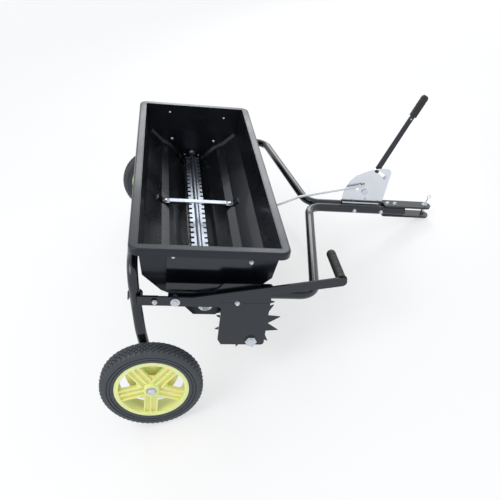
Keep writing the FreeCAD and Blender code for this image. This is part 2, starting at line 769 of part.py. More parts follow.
def makeLever():
    """A flat bar from the right leg past the pivot to the grip, and a short link on the left leg."""
    half = "leverWide / 2"
    low = "-pivotDrop"
    rear = "-kneeBack + seatGap"
    end = "-leverDrop"
    bend = "-pivotBack + leverBend"
    long = [(rear, low + " - " + half), (bend, low + " - " + half), ("leverReach", end + " - " + half),
            ("leverReach", end + " + " + half), (bend, low + " + " + half), (rear, low + " + " + half)]
    front = "-pivotBack + leverWide / 2"
    short = [(rear, low + " - " + half), (front, low + " - " + half), (front, low + " + " + half),
             (rear, low + " + " + half)]
    rounds = {"transport_lever": {1: "leverWide", 2: "leverRound", 3: "leverRound", 4: "leverWide"},
              "carrier_link": {1: "leverRound", 2: "leverRound"}}
    for label, corners, side in (("transport_lever", long, RIGHT), ("carrier_link", short, LEFT)):
        body = newBody(label)
        sketch = sideSketch(body, "outline", side, "leverInner")
        addOutline(sketch, corners, rounds[label])
        addCircle(sketch, "-pivotBack", low, "pivotPin + 2 * pinFit")
        addCircle(sketch, "-clampBoltBack", low, "clampBolt")
        padOut(body, sketch, side, "leverThick")
    body = newBody("lever_grip")
    grip = sideSketch(body, "section", RIGHT, "leverInner - seatGap",
                      ("leverReach - leverWide / 2", "-leverDrop"))
    addCircle(grip, "0", "0", "gripDiameter")
    pad(body, grip, "gripLength", flip=True)
    rounded(body, "gripRound", lambda edge: edge.BoundBox.YMin > -size("leverInner - gripLength / 2"))


def makeClamps():
    """A strap round the inner half of each leg, folded out to the bar and bolted through it."""
    inside = "clampInside"
    outside = "clampInside + clampSheet"
    ear = "leverInner - seatGap - clampSheet"
    shank = "clampBolt - 4 * pinFit"
    for name, side in SIDES.items():
        body = newBody("leg_clamp_" + name)
        level = "-(pivotDrop + clampHeight / 2)"
        base = ("-clampBack", outwards(-side, "legSide"), level)
        ring = newSketch(body, "ring", "XY_Plane", base)
        addCircle(ring, "0", "0", "2 * (%s)" % outside)
        addCircle(ring, "0", "0", "2 * (%s)" % inside)
        pad(body, ring, "clampHeight")
        half = newSketch(body, "half", "XY_Plane", base)
        edge = "-(%s)" if side == RIGHT else "%s"
        addBox(half, "-tubeDiameter", "0", "tubeDiameter", edge % "tubeDiameter")
        pocket(body, half, "clampHeight", flip=True)
        fold = newSketch(body, "fold", "XY_Plane", ("-clampBack", "0", level))
        near = "clampBack - clampBoltBack + clampBolt"
        points = [(inside, "legSide"), (outside, "legSide"), (outside, ear), (near, ear),
                  (near, ear + " + clampSheet"), (inside, ear + " + clampSheet")]
        addOutline(fold, [(x, edge % y) for x, y in points])
        pad(body, fold, "clampHeight")
        for part, start, length, diameter in (("inner", ear + " - clampSheet", "clampSheet", "clampBoltHead"),
                                              ("shank", ear, "leverThick + 2 * clampSheet", shank),
                                              ("head", "leverOuter + seatGap", "clampSheet", "clampBoltHead")):
            bolt = sideSketch(body, part, side, start, ("-clampBoltBack", "-pivotDrop"))
            addCircle(bolt, "0", "0", diameter)
            padOut(body, bolt, side, length)


def makePivots():
    """The carrier's pivot bolts, each with a spacer between the side plate and the bar."""
    origin = ("-pivotBack", "-pivotDrop")
    for name, side in SIDES.items():
        body = newBody("pivot_pin_" + name)
        pin = sideSketch(body, "pin", side, "plateInner - pivotHead", origin)
        addCircle(pin, "0", "0", "pivotPin")
        padOut(body, pin, side, "leverOuter + seatGap + 2 * pivotHead - plateInner")
        for part, start, length in (("back", "plateInner - pivotHead", "pivotHead - seatGap"),
                                    ("spacer", "plateOuter + seatGap", "leverGap - 2 * seatGap"),
                                    ("head", "leverOuter + seatGap", "pivotHead")):
            ring = sideSketch(body, part, side, start, origin)
            addCircle(ring, "0", "0", "pivotSpacer")
            padOut(body, ring, side, length)


# ---- wheels


def makeTyre(name, side):
    """Turned section: beads between the rim's lips, walls that bulge past them, and a flat crown."""
    body = newBody("tyre_" + name)
    sign = "-" if side == RIGHT else ""
    section = newSketch(body, "section", "XY_Plane", ("-axleBack", sign + "wheelSide", "-axleDrop"))
    bead = "rimWidth / 2 - rimLipWide - seatGap"
    lip = "rimRadius + seatGap"
    upper = [("rimRadius - rimLipHigh + seatGap", bead), (lip, bead), (lip, "rimWidth / 2"),
             (lip + " + tyreBulge", "tyreWidth / 2"), ("tyreRadius - tyreShoulder", "tyreWidth / 2"),
             ("tyreRadius - tyreCrownFall", "tyreWidth / 2 - tyreShoulderFace"),
             ("tyreRadius", "tyreWidth / 2 - tyreCrownEdge")]
    lower = [(x, "-(%s)" % y) for x, y in reversed(upper)]
    addOutline(section, upper + lower)
    revolve(body, section)


def makeRimWheel(name, side):
    """A moulded wheel: barrel with lips, hub, and a star of ribbed spokes sunk below the outer lip."""
    body = newBody("wheel_rim_" + name)
    sign = "-" if side == RIGHT else ""
    barrel = newSketch(body, "barrel", "XY_Plane", ("-axleBack", sign + "wheelSide", "-axleDrop"))
    inner = "rimRadius - rimLipHigh - rimWall"
    upper = [(inner, "rimWidth / 2"), ("rimRadius", "rimWidth / 2"), ("rimRadius", "rimWidth / 2 - rimLipWide"),
             ("rimRadius - rimLipHigh", "rimWidth / 2 - rimLipWide")]
    lower = [(x, "-(%s)" % y) for x, y in reversed(upper)]
    addOutline(barrel, upper + lower)
    revolve(body, barrel)
    hub = ("-axleBack", "-axleDrop")
    face = "wheelSide + rimWidth / 2 - spokeRecess"
    spoke = sideSketch(body, "spoke", side, face + " - spokeWeb", hub)
    addBox(spoke, "-spokeWide / 2", "-(%s) - rootSink" % inner, "spokeWide / 2", "-wheelHub / 2 + rootSink")
    arm = padOut(body, spoke, side, "spokeWeb")
    ribs = sideSketch(body, "ribs", side, face, hub)
    for start in ("-spokeWide / 2", "-spokeRib / 2", "spokeWide / 2 - spokeRib"):
        addBox(ribs, start, "-(%s) - rootSink" % inner, start + " + spokeRib", "-wheelHub / 2 + rootSink")
    ridge = padOut(body, ribs, side, "spokeRise")
    polar(body, [arm, ridge], spoke, SPOKES)
    star = sideSketch(body, "star", side, face + " - spokeWeb", hub)
    addCircle(star, "0", "0", "starDiameter")
    padOut(body, star, side, "spokeWeb")
    boss = sideSketch(body, "boss", side, "wheelSide - tyreWidth / 2", hub)
    addCircle(boss, "0", "0", "wheelHub")
    padOut(body, boss, side, "tyreWidth")
    bore = newSketch(body, "bore", "XZ_Plane", (hub[0], hub[1], "0"))
    addCircle(bore, "0", "0", "axleDiameter + 2 * pinFit")
    pocket(body, bore, "2 * axleTip", both=True)


def makeWheels():
    for name, side in SIDES.items():
        makeTyre(name, side)
        makeRimWheel(name, side)


# ---- spiker reel


def starCorners(turned):
    """Tips and roots of a disc's points, from an angle for its first tip."""
    corners = []
    for index in range(DISC_POINTS):
        for radius, part in (("discRadius", 0), ("discRoot", 0.5)):
            angle = 360 * (index + part + turned) / DISC_POINTS
            corners.append(("%s * cos(%g)" % (radius, angle), "%s * sin(%g)" % (radius, angle)))
    return corners


def makeReel():
    """Star discs along one shaft, each set half a point round from its neighbours."""
    origin = ("reelForward", "-reelDrop")
    body = newBody("spiker_shaft")
    shaft = newSketch(body, "shaft", "XZ_Plane", origin + ("0",))
    addCircle(shaft, "0", "0", "reelShaft")
    pad(body, shaft, "2 * (plateOuter + seatGap + reelNutThick + reelTip)", both=True)
    for name, side in SIDES.items():
        nut = sideSketch(body, "nut_" + name, side, "plateOuter + seatGap", origin)
        turns = range(0, 360, 60)
        addOutline(nut, [("reelNut / 2 * cos(%d)" % turn, "reelNut / 2 * sin(%d)" % turn) for turn in turns])
        padOut(body, nut, side, "reelNutThick")
    body = newBody("spiker_discs")
    for name, turned, start in (("even", 0, (DISCS - 1) / 2), ("odd", 0.5, (DISCS - 3) / 2)):
        place = origin + ("-%g * discPitch" % start,)
        star = newSketch(body, name, "XZ_Plane", place)
        addOutline(star, starCorners(turned))
        addCircle(star, "0", "0", "reelShaft + 2 * pinFit")
        disc = pad(body, star, "discThick", both=True)
        sleeve = newSketch(body, name + "Sleeve", "XZ_Plane", place)
        addCircle(sleeve, "0", "0", "discHub")
        addCircle(sleeve, "0", "0", "reelShaft + 2 * pinFit")
        hub = pad(body, sleeve, "discHubLong", both=True)
        linear(body, [disc, hub], star, "N_Axis", "%d * discPitch" % (DISCS - 2), DISCS // 2)


# ---- flow control


def strip(angle, start, end, half):
    """Corners of a straight strip that leaves the sketch's origin at an angle."""
    ends = ((start, "-(%s)" % half), (end, "-(%s)" % half), (end, half), (start, half))
    return [("(%s) * cos(%s) - (%s) * sin(%s)" % (a, angle, b, angle),
             "(%s) * sin(%s) + (%s) * cos(%s)" % (a, angle, b, angle)) for a, b in ends]


def arcSlot(sketch, radius, start, end, wide):
    """A curved slot about the sketch's origin, its ends rounded."""
    middle, half = size(radius), size(wide) / 2
    angles = [math.radians(size(start)), math.radians(size(end))]
    rings = [Part.ArcOfCircle(Part.Circle(Vector(), Vector(0, 0, 1), middle + offset), *angles)
             for offset in (half, -half)]
    outer, inner = [sketch.addGeometry(ring, False) for ring in rings]
    caps = []
    for angle, turned in ((angles[0], math.pi), (angles[1], 0)):
        spot = Vector(middle * math.cos(angle), middle * math.sin(angle), 0)
        ring = Part.Circle(spot, Vector(0, 0, 1), half)
        caps.append(sketch.addGeometry(Part.ArcOfCircle(ring, angle + turned, angle + turned + math.pi), False))
    first, last = caps
    for ring in (outer, inner):
        sketch.addConstraint(Sketcher.Constraint("Coincident", ring, 3, -1, 1))
    sketch.addConstraint([Sketcher.Constraint("Tangent", first, 2, outer, 1),
                          Sketcher.Constraint("Tangent", outer, 2, last, 1),
                          Sketcher.Constraint("Tangent", last, 2, inner, 2),
                          Sketcher.Constraint("Tangent", inner, 1, first, 1)])
    limit = sketch.addConstraint(Sketcher.Constraint("Radius", first, half))
    sketch.setExpression("Constraints[%d]" % limit, bound("(%s) / 2" % wide))
    fixPoint(sketch, first, 3, "(%s) * cos(%s)" % (radius, start), "(%s) * sin(%s)" % (radius, start))
    across = "(%s) * cos(%s)" % (radius, end)
    limit = sketch.addConstraint(Sketcher.Constraint("DistanceX", -1, 1, last, 3, size(across)))
    sketch.setExpression("Constraints[%d]" % limit, bound(across))


def makeQuadrant():
    """An upright plate on a flange across the tongue: one arc slot for the stop, one for the rod's hook."""
    body = newBody("quadrant")
    origin = ("quadrantPivot", "-quadrantDrop", "quadrantSide")
    foot = "quadrantDrop - quadrantFoot"
    plate = newSketch(body, "plate", "XZ_Plane", origin)
    corners = [("-quadrantRear", foot), ("quadrantFront", foot), ("quadrantNose", "quadrantNoseHigh"),
               ("0", "quadrantRadius"), ("-quadrantHeel", "quadrantHeelHigh"), ("-quadrantWaist", "0")]
    addOutline(plate, corners, {i: "quadrantRound" for i in (2, 3, 4, 5)})
    addCircle(plate, "0", "0", "flowPivot + 2 * pinFit")
    arcSlot(plate, "quadrantRadius - slotWide", "slotStart", "slotEnd", "slotWide")
    pad(body, plate, "quadrantThick")
    hook = newSketch(body, "hookWay", "XZ_Plane", origin)
    arcSlot(hook, "rodEyeRadius", "rodEyeAngle", "rodEyeAngle + flowSwing", "rodDiameter + 4 * rodSlack")
    pocket(body, hook, "2 * quadrantThick", flip=True)
    base = newSketch(body, "base", "XY_Plane", ("quadrantPivot", "0", "-quadrantFoot"))
    addBox(base, "-quadrantRear", "-quadrantBase / 2", "quadrantFront", "quadrantBase / 2", "quadrantThick")
    pad(body, base, "quadrantThick")


def makeFlowLever():
    """A flat bar with an ear for the rod, turning on a bolt through the quadrant."""
    origin = ("quadrantPivot", "-quadrantDrop")
    hand = "90 - flowLeverLean"
    middle = ("flowLeverSide - flowLeverThick / 2",)
    body = newBody("flow_lever")
    bar = newSketch(body, "bar", "XZ_Plane", origin + middle)
    half = "flowLeverWide / 2"
    addOutline(bar, strip(hand, "-flowLeverHeel", "flowLeverLength", half),
               {corner: "flowLeverRound" for corner in range(4)})
    pad(body, bar, "flowLeverThick", both=True)
    ear = newSketch(body, "ear", "XZ_Plane", origin + middle)
    addOutline(ear, strip("rodEyeAngle", "0", "rodEyeRadius + rodDiameter", "rodDiameter"),
               {1: "flowLeverRound", 2: "flowLeverRound"})
    pad(body, ear, "flowLeverThick", both=True)
    holes = newSketch(body, "holes", "XZ_Plane", origin + middle)
    addCircle(holes, "0", "0", "flowPivot + 2 * pinFit")
    eye = ("rodEyeRadius * cos(rodEyeAngle)", "rodEyeRadius * sin(rodEyeAngle)")
    addCircle(holes, eye[0], eye[1], "rodDiameter + 2 * rodSlack")
    pocket(body, holes, "2 * flowLeverThick", both=True)
    body = newBody("flow_lever_grip")
    grip = newSketch(body, "sleeve", "XZ_Plane", origin + middle)
    start = "flowLeverLength - flowGripLong"
    wide = "flowGripWide / 2"
    addOutline(grip, strip(hand, start, "flowLeverLength + flowLeverThick", wide), {1: "flowLeverWide / 2",
                                                                                  2: "flowLeverWide / 2"})
    pad(body, grip, "flowGripThick", both=True)
    slit = newSketch(body, "slit", "XZ_Plane", origin + middle)
    addOutline(slit, strip(hand, start + " - seatGap", "flowLeverLength + seatGap", half + " + pinFit"))
    pocket(body, slit, "flowLeverThick + 2 * pinFit", both=True)


def makeFlowPivot():
    """The lever's bolt: a head before the plate, a spacer that sets the lever off it, and a nut behind."""
    origin = ("quadrantPivot", "-quadrantDrop")
    body = newBody("flow_pivot")
    front = "quadrantSide + quadrantThick + seatGap"
    rear = "flowLeverSide - flowLeverThick - seatGap"
    parts = (("shank", "flowPivot", rear + " - flowLeverThick", front + " + flowLeverThick"),
             ("nut", "flowPivotHead", rear + " - flowLeverThick", rear),
             ("spacer", "flowPivotHead", "flowLeverSide + seatGap", "quadrantSide - seatGap"),
             ("head", "flowPivotHead", front, front + " + flowLeverThick"))
    for name, diameter, start, end in parts:
        ring = newSketch(body, name, "XZ_Plane", origin + (start,))
        addCircle(ring, "0", "0", diameter)
        pad(body, ring, "(%s) - (%s)" % (end, start))


def makeControlRod():
    """Round bar hooked through the plate into the lever's ear, then down to the shutter's ear."""
    tip = size("flowLeverThick - flowLeverSide + seatGap")
    eye = (size("quadrantPivot + rodEyeRadius * cos(rodEyeAngle)"),
           size("rodEyeRadius * sin(rodEyeAngle) - quadrantDrop"))
    end = size("rodEnd")
    low = -size("rodLow")
    aside = -size("rodSide")
    away = aside - size("flowLeverThick")
    points = [Vector(eye[0], tip, eye[1]), Vector(eye[0], aside, eye[1]),
              Vector(size("rodCrank"), aside, -size("rodCrankDrop")), Vector(end + size("rodHook"), away, low),
              Vector(end, away, low), Vector(end, -size("seatGap"), low)]
    bends = [size("rodHookBend"), size("rodLongBend"), size("rodBend"), size("rodHookBend")]
    newFeature("control_rod", bentRod(points, bends, size("rodDiameter / 2")))


makeHopper()
makeRim()
makeShutter()
makeGuides()
makeBrace()
makeAgitator()
makePlates()
makeBrackets()
makeFrameTubes()
makeHitch()
makeBail()
makeAxles()
makeLever()
makeClamps()
makePivots()
makeWheels()
makeReel()
makeQuadrant()
makeFlowLever()
makeFlowPivot()
makeControlRod()
doc.recompute()

# Nose-down angle at which the wheels and the hitch's lower edge stand on one floor.
ahead = size("hitchReach + axleBack")
above = size("axleDrop - strapLower - strapThick")
pitch = math.atan2(above, ahead) + math.asin(size("tyreRadius") / math.hypot(ahead, above))
turn = FreeCAD.Rotation(Vector(0, 1, 0), math.degrees(pitch))
everything = Part.makeCompound([piece.Shape for piece in nodes])
everything.Placement = FreeCAD.Placement(Vector(), turn)
bounds = everything.optimalBoundingBox(False, False)
stand = FreeCAD.Placement(Vector(-bounds.Center.x, 0, -bounds.ZMin), turn)
for piece in nodes:
    piece.Placement = stand
doc.recompute()

for item in doc.Objects:
    if "Invalid" in item.State or "Error" in item.State:
        raise RuntimeError("failed: " + item.Label)
for piece in nodes:
    if piece.Shape.isNull() or not piece.Shape.isValid():
        raise RuntimeError("bad shape: " + piece.Label)

os.makedirs("parts", exist_ok=True)
for piece in nodes:
    piece.Shape.exportStep("parts/" + piece.Label + ".step")
print("nodes:", len(nodes), "pitch:", round(math.degrees(pitch), 3), "bounds:", bounds)
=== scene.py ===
# Looks of the tow-behind aerator spreader: finishes, tread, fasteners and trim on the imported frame.
import bmesh
import bpy
import json
import math
from mathutils import Matrix, Vector


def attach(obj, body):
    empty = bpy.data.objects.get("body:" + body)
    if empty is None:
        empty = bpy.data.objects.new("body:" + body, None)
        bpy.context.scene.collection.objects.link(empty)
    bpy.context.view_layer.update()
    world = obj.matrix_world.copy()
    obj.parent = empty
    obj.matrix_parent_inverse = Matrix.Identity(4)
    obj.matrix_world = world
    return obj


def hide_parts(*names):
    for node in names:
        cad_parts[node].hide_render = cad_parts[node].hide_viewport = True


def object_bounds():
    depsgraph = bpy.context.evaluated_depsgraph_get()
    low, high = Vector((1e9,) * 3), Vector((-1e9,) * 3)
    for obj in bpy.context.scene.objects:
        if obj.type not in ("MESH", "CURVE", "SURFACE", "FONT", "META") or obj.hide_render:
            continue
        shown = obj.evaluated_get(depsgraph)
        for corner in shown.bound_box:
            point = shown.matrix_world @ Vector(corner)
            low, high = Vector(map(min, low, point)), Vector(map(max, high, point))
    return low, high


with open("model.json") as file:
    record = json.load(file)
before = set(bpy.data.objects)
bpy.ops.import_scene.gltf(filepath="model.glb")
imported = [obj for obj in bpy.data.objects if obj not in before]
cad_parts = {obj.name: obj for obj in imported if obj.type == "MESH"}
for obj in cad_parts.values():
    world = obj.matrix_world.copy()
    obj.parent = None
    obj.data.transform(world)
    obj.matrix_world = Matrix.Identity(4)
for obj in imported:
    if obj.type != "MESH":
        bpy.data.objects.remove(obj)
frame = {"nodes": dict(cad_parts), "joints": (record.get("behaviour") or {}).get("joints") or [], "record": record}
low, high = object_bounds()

mm = 0.001
bothSides = (("right", -1), ("left", 1))  # each side's name and its sign along the machine's left
beyond = 600  # mm out from the middle, clear of every piece: where the lines that seat fasteners start
nearlyAlong = 0.9  # the dot product from which two directions count as the same

# The machine stands nose-down, so its own axes (forward, left, up) are read from its joints and nodes.
joints = {joint["name"]: joint for joint in frame["joints"]}
forward = Vector(joints["shutter_slide"]["axis"]).normalized()
left = Vector((0, 1, 0))
up = forward.cross(left)
tipped = Matrix((forward, left, up)).transposed().to_4x4()
datum = Vector()  # moved below to the middle of the hopper's top


# Lowest and highest corner of some nodes along the machine's axes, in millimetres from the datum.
def reach(*names):
    flat = tipped.inverted()
    corners = [flat @ (v.co - datum) / mm for name in names for v in frame["nodes"][name].data.vertices]
    return [Vector([pick(corner[axis] for corner in corners) for axis in range(3)]) for pick in (min, max)]


rimLow, rimHigh = reach("hopper_rim")
datum = tipped @ Vector(((rimLow.x + rimHigh.x) / 2 * mm, 0, rimHigh.z * mm))
machine = Matrix.Translation(datum) @ tipped


# A place in the scene from machine millimetres: forward, left and up from the datum.
def spot(x, y, z):
    return machine @ Vector((x * mm, y * mm, z * mm))


# The other way: a place in the scene as machine millimetres.
def inMachine(place):
    return machine.inverted() @ place / mm


# A joint's place in machine millimetres.
def jointAt(name):
    return inMachine(Vector(joints[name]["pos_m"]))


# An sRGB hex colour as the linear colour that a socket takes.
def linear(colour):
    values = [int(colour[i:i + 2], 16) / 255 for i in (1, 3, 5)]
    return [v / 12.92 if v <= 0.04045 else ((v + 0.055) / 1.055) ** 2.4 for v in values] + [1]


# A node with its settings (properties, or sockets by name or number) and the sockets linked into it.
def addNode(tree, kind, settings=None, links=None):
    node = tree.nodes.new(kind)
    for name, value in (settings or {}).items():
        if isinstance(name, str) and hasattr(node, name):
            setattr(node, name, value)
        else:
            node.inputs[name].default_value = value
    for name, source in (links or {}).items():
        tree.links.new(source, node.inputs[name])
    return node


# What every finish starts with: a broad noise for its colour and gloss, a fine one for its relief. A noise
# seldom leaves 0.3 to 0.7, so that span is stretched over the roughness.
def startFinish(name, look):
    material = bpy.data.materials.new(name)
    material.use_nodes = True
    tree = material.node_tree
    tree.nodes.clear()
    place = addNode(tree, "ShaderNodeTexCoord").outputs["Object"]
    cloud = addNode(tree, "ShaderNodeTexNoise", {"Scale": 1 / (look["cloud"] * mm), "Detail": 5.0},
                    {"Vector": place}).outputs["Fac"]
    grain = addNode(tree, "ShaderNodeTexNoise", {"Scale": 1 / (look["grain"] * mm), "Detail": 2.0},
                    {"Vector": place}).outputs["Fac"]
    tint = addNode(tree, "ShaderNodeMix", {"data_type": "RGBA", 6: linear(look["deep"]),
                                           7: linear(look["light"])}, {0: cloud}).outputs[2]
    rough = addNode(tree, "ShaderNodeMapRange", {"From Min": 0.3, "From Max": 0.7, "To Min": look["smooth"],
                                                 "To Max": look["dull"]}, {"Value": cloud}).outputs["Result"]
    return {"material": material, "tree": tree, "place": place, "grain": grain, "tint": tint, "rough": rough}


# What every finish ends with: its relief, over eased edges where the look has them, and its shader.
def endFinish(finish, look, height, settings):
    tree = finish["tree"]
    links = {"Height": height}
    if "edge" in look:
        links["Normal"] = addNode(tree, "ShaderNodeBevel",
                                  {"samples": 4, "Radius": look["edge"] * mm}).outputs["Normal"]
    bump = addNode(tree, "ShaderNodeBump",
                   {"Strength": look["bump"], "Distance": look["relief"] * mm}, links)
    shader = addNode(tree, "ShaderNodeBsdfPrincipled", settings,
                     {"Base Color": finish["tint"], "Roughness": finish["rough"],
                      "Normal": bump.outputs["Normal"]})
    addNode(tree, "ShaderNodeOutputMaterial", {}, {"Surface": shader.outputs["BSDF"]})
    return finish["material"]


# Polyester powder baked on steel: it flows round edges, so they catch the light, and dries to a fine
# orange peel in the gloss.
def powderCoat(name, look):
    finish = startFinish(name, look)
    return endFinish(finish, look, finish["grain"],
                     {"IOR": 1.5, "Specular Tint": linear(look["sheen"]), "Coat Weight": look["coat"],
                      "Coat Roughness": 0.06})


# Zinc plate on rolled steel: a cloudy silver sheen over faint rolling lines, long across the machine and
# drawn somewhat coarser than real ones, which would be too fine to show.
def zincPlate(name, look):
    finish = startFinish(name, look)
    tree = finish["tree"]
    stretched = addNode(tree, "ShaderNodeMapping", {"Scale": (1.0, 0.06, 1.0)}, {"Vector": finish["place"]})
    rolled = addNode(tree, "ShaderNodeTexNoise", {"Scale": 1 / (look["lines"] * mm), "Detail": 2.0},
                     {"Vector": stretched.outputs["Vector"]})
    return endFinish(finish, look, rolled.outputs["Fac"], {"Metallic": 1.0})


# Carbon-black rubber from a mould: dull, with a greyer bloom where it has been handled.
def blackRubber(name, look):
    finish = startFinish(name, look)
    return endFinish(finish, look, finish["grain"], {"IOR": 1.52, "Specular IOR Level": 0.4})


# Injection-moulded polypropylene, pale yellow-green: waxy, a little translucent, paler at thin edges.
def waxyPlastic(name, look):
    finish = startFinish(name, look)
    return endFinish(finish, look, finish["grain"],
                     {"IOR": 1.49, "Subsurface Weight": 0.45, "Subsurface Scale": look["depth"] * mm})


# Black vinyl dipped over steel: a soft sheen broken by a fine leathery grain.
def leatheryVinyl(name, look):
    finish = startFinish(name, look)
    cells = addNode(finish["tree"], "ShaderNodeTexVoronoi", {"Scale": 1 / (look["grain"] * mm)},
                    {"Vector": finish["place"]})
    return endFinish(finish, look, cells.outputs["Distance"], {"IOR": 1.53})


# Lengths are millimetres: cloud is the size of a patch of tone, grain that of the fine relief, relief its
# height and edge the radius of an eased edge. The hopper's coat is the duller, the frame's the glossier.
hopperCoat = powderCoat("satinPowderCoat", {
    "cloud": 120.0, "grain": 1.6, "edge": 1.4, "bump": 0.2, "relief": 0.05, "coat": 0.2, "smooth": 0.24,
    "dull": 0.36, "sheen": "#d3e0f4", "deep": "#08090c", "light": "#111317"})
frameCoat = powderCoat("glossPowderCoat", {
    "cloud": 50.0, "grain": 1.1, "edge": 0.9, "bump": 0.14, "relief": 0.05, "coat": 0.5, "smooth": 0.14,
    "dull": 0.26, "sheen": "#d3e0f4", "deep": "#08090c", "light": "#101216"})
zinc = zincPlate("brightZincPlate", {
    "cloud": 40.0, "grain": 1.2, "lines": 0.7, "edge": 0.5, "bump": 0.1, "relief": 0.03, "smooth": 0.16,
    "dull": 0.32, "deep": "#bcc1ca", "light": "#dde2ea"})
# cold-rolled sheet under the plating: smoother, so it mirrors more of the room
sheetZinc = zincPlate("polishedZincSheet", {
    "cloud": 60.0, "grain": 1.0, "lines": 0.9, "edge": 0.4, "bump": 0.1, "relief": 0.03, "smooth": 0.08,
    "dull": 0.2, "deep": "#ccd1d8", "light": "#e6eaf0"})
# the same plating, painted darker and made rougher for the agitator and the brace bar: the darker colour is
# painted shade
shadeDarkenedZinc = zincPlate("shadeDarkenedZincPlate", {
    "cloud": 30.0, "grain": 1.2, "lines": 0.9, "edge": 0.5, "bump": 0.1, "relief": 0.03, "smooth": 0.22,
    "dull": 0.4, "deep": "#7f8691", "light": "#a3aab5"})
rubber = blackRubber("mouldedRubber", {
    "cloud": 25.0, "grain": 0.8, "bump": 0.3, "relief": 0.06, "smooth": 0.46, "dull": 0.66,
    "deep": "#33373d", "light": "#4e5359"})
plastic = waxyPlastic("mouldedPolypropylene", {
    "cloud": 60.0, "grain": 0.6, "edge": 0.6, "bump": 0.1, "relief": 0.04, "depth": 6.0, "smooth": 0.32,
    "dull": 0.46, "deep": "#f3f48e", "light": "#fbfbc4"})
vinyl = leatheryVinyl("dippedVinyl", {
    "cloud": 18.0, "grain": 0.9, "bump": 0.25, "relief": 0.08, "smooth": 0.42, "dull": 0.6,
    "deep": "#0e0f10", "light": "#1c1d1f"})
bySlot = {"hopper_enamel": hopperCoat, "frame_enamel": frameCoat, "zinc_plate": zinc, "tyre_rubber": rubber,
          "wheel_plastic": plastic, "grip_vinyl": vinyl}
for part in frame["record"]["subparts"]:
    node = frame["nodes"][part["node"]]
    node.data.materials.clear()
    node.data.materials.append(bySlot[part["material_slot"]])
# the agitator's shaft takes the zinc whose darker colour is painted shade
frame["nodes"]["agitator_shaft"].data.materials[0] = shadeDarkenedZinc
print("materials done")


# A place whose z axis points along one direction and whose x axis leans towards another.
def facing(place, aim, ahead):
    z = aim.normalized()
    y = z.cross(ahead).normalized()
    return Matrix.Translation(place) @ Matrix((y.cross(z), y, z)).transposed().to_4x4()


# A point about a place's z axis, from a radius in millimetres, an angle and a rise in millimetres.
def polar(place, radius, angle, rise=0.0):
    return place @ Vector((radius * mm * math.cos(angle), radius * mm * math.sin(angle), rise * mm))


# Angles that share out a full turn.
def fullTurn(count, start=0.0):
    return [start + 2 * math.pi * i / count for i in range(count)]


# Turns a profile of (radius, rise) pairs in millimetres about a place's z axis.
def lathe(mesh, place, profile, turns=32, closed=False, start=0.0):
    rings = []
    for radius, rise in profile:
        angles = fullTurn(turns, start) if radius else [0]
        rings.append([mesh.verts.new(polar(place, radius, a, rise)) for a in angles])
    follow = rings[1:] + ([rings[0]] if closed else [])
    for one, two in zip(rings, follow):
        for i in range(turns):
            corners = [one[i % len(one)], one[(i + 1) % len(one)], two[(i + 1) % len(two)],
                       two[i % len(two)]]
            corners = list(dict.fromkeys(corners))  # a ring of one point gives triangles
            if len(corners) > 2:
                mesh.faces.new(corners)


# A skin through outlines with as many points each, with its ends closed or its loop joined.
def skin(mesh, outlines, loop=False):
    rings = [[mesh.verts.new(point) for point in outline] for outline in outlines]
    count = len(rings[0])
    for one, two in zip(rings, rings[1:] + (rings[:1] if loop else [])):
        for k in range(count):
            mesh.faces.new([one[k], one[(k + 1) % count], two[(k + 1) % count], two[k]])
    if not loop:
        mesh.faces.new(rings[0][::-1])
        mesh.faces.new(rings[-1])


# A round bar along points, with its ends closed or its loop joined.
def wire(mesh, points, radius, sides=12, loop=False):
    outlines = []
    for i, here in enumerate(points):
        before = points[i - 1] if i or loop else here
        after = points[(i + 1) % len(points)] if i + 1 < len(points) or loop else here
        along = (after - before).normalized()
        side = along.cross(left) if abs(along.dot(left)) < nearlyAlong else along.cross(up)
        place = facing(here, along, side)
        outlines.append([polar(place, radius, angle) for angle in fullTurn(sides)])
    skin(mesh, outlines, loop)


# Turns a mesh into a piece that rides on a body; edges sharper than the crease angle stay crisp.
def newPiece(name, mesh, body, material, crease=35):
    bmesh.ops.recalc_face_normals(mesh, faces=mesh.faces)
    data = bpy.data.meshes.new(name)
    mesh.to_mesh(data)
    mesh.free()
    data.shade_smooth()
    data.set_sharp_from_angle(angle=math.radians(crease))
    data.materials.append(material)
    piece = bpy.data.objects.new(name, data)
    bpy.context.collection.objects.link(piece)
    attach(piece, body)
    return piece


# Where a line from a start along an aim first meets a node, and the way its surface faces there.
def touch(node, start, aim):
    hit, place, normal, index = frame["nodes"][node].ray_cast(start, aim.normalized())
    if not hit:
        raise RuntimeError("nothing to seat a fastener on: " + node)
    return place, normal if normal.dot(aim) < 0 else -normal


# A wheel's joint as a place whose z axis points out of the machine.
def wheelPlace(name, side):
    return facing(Vector(joints["wheel_%s_spin" % name]["pos_m"]), left * side, forward)


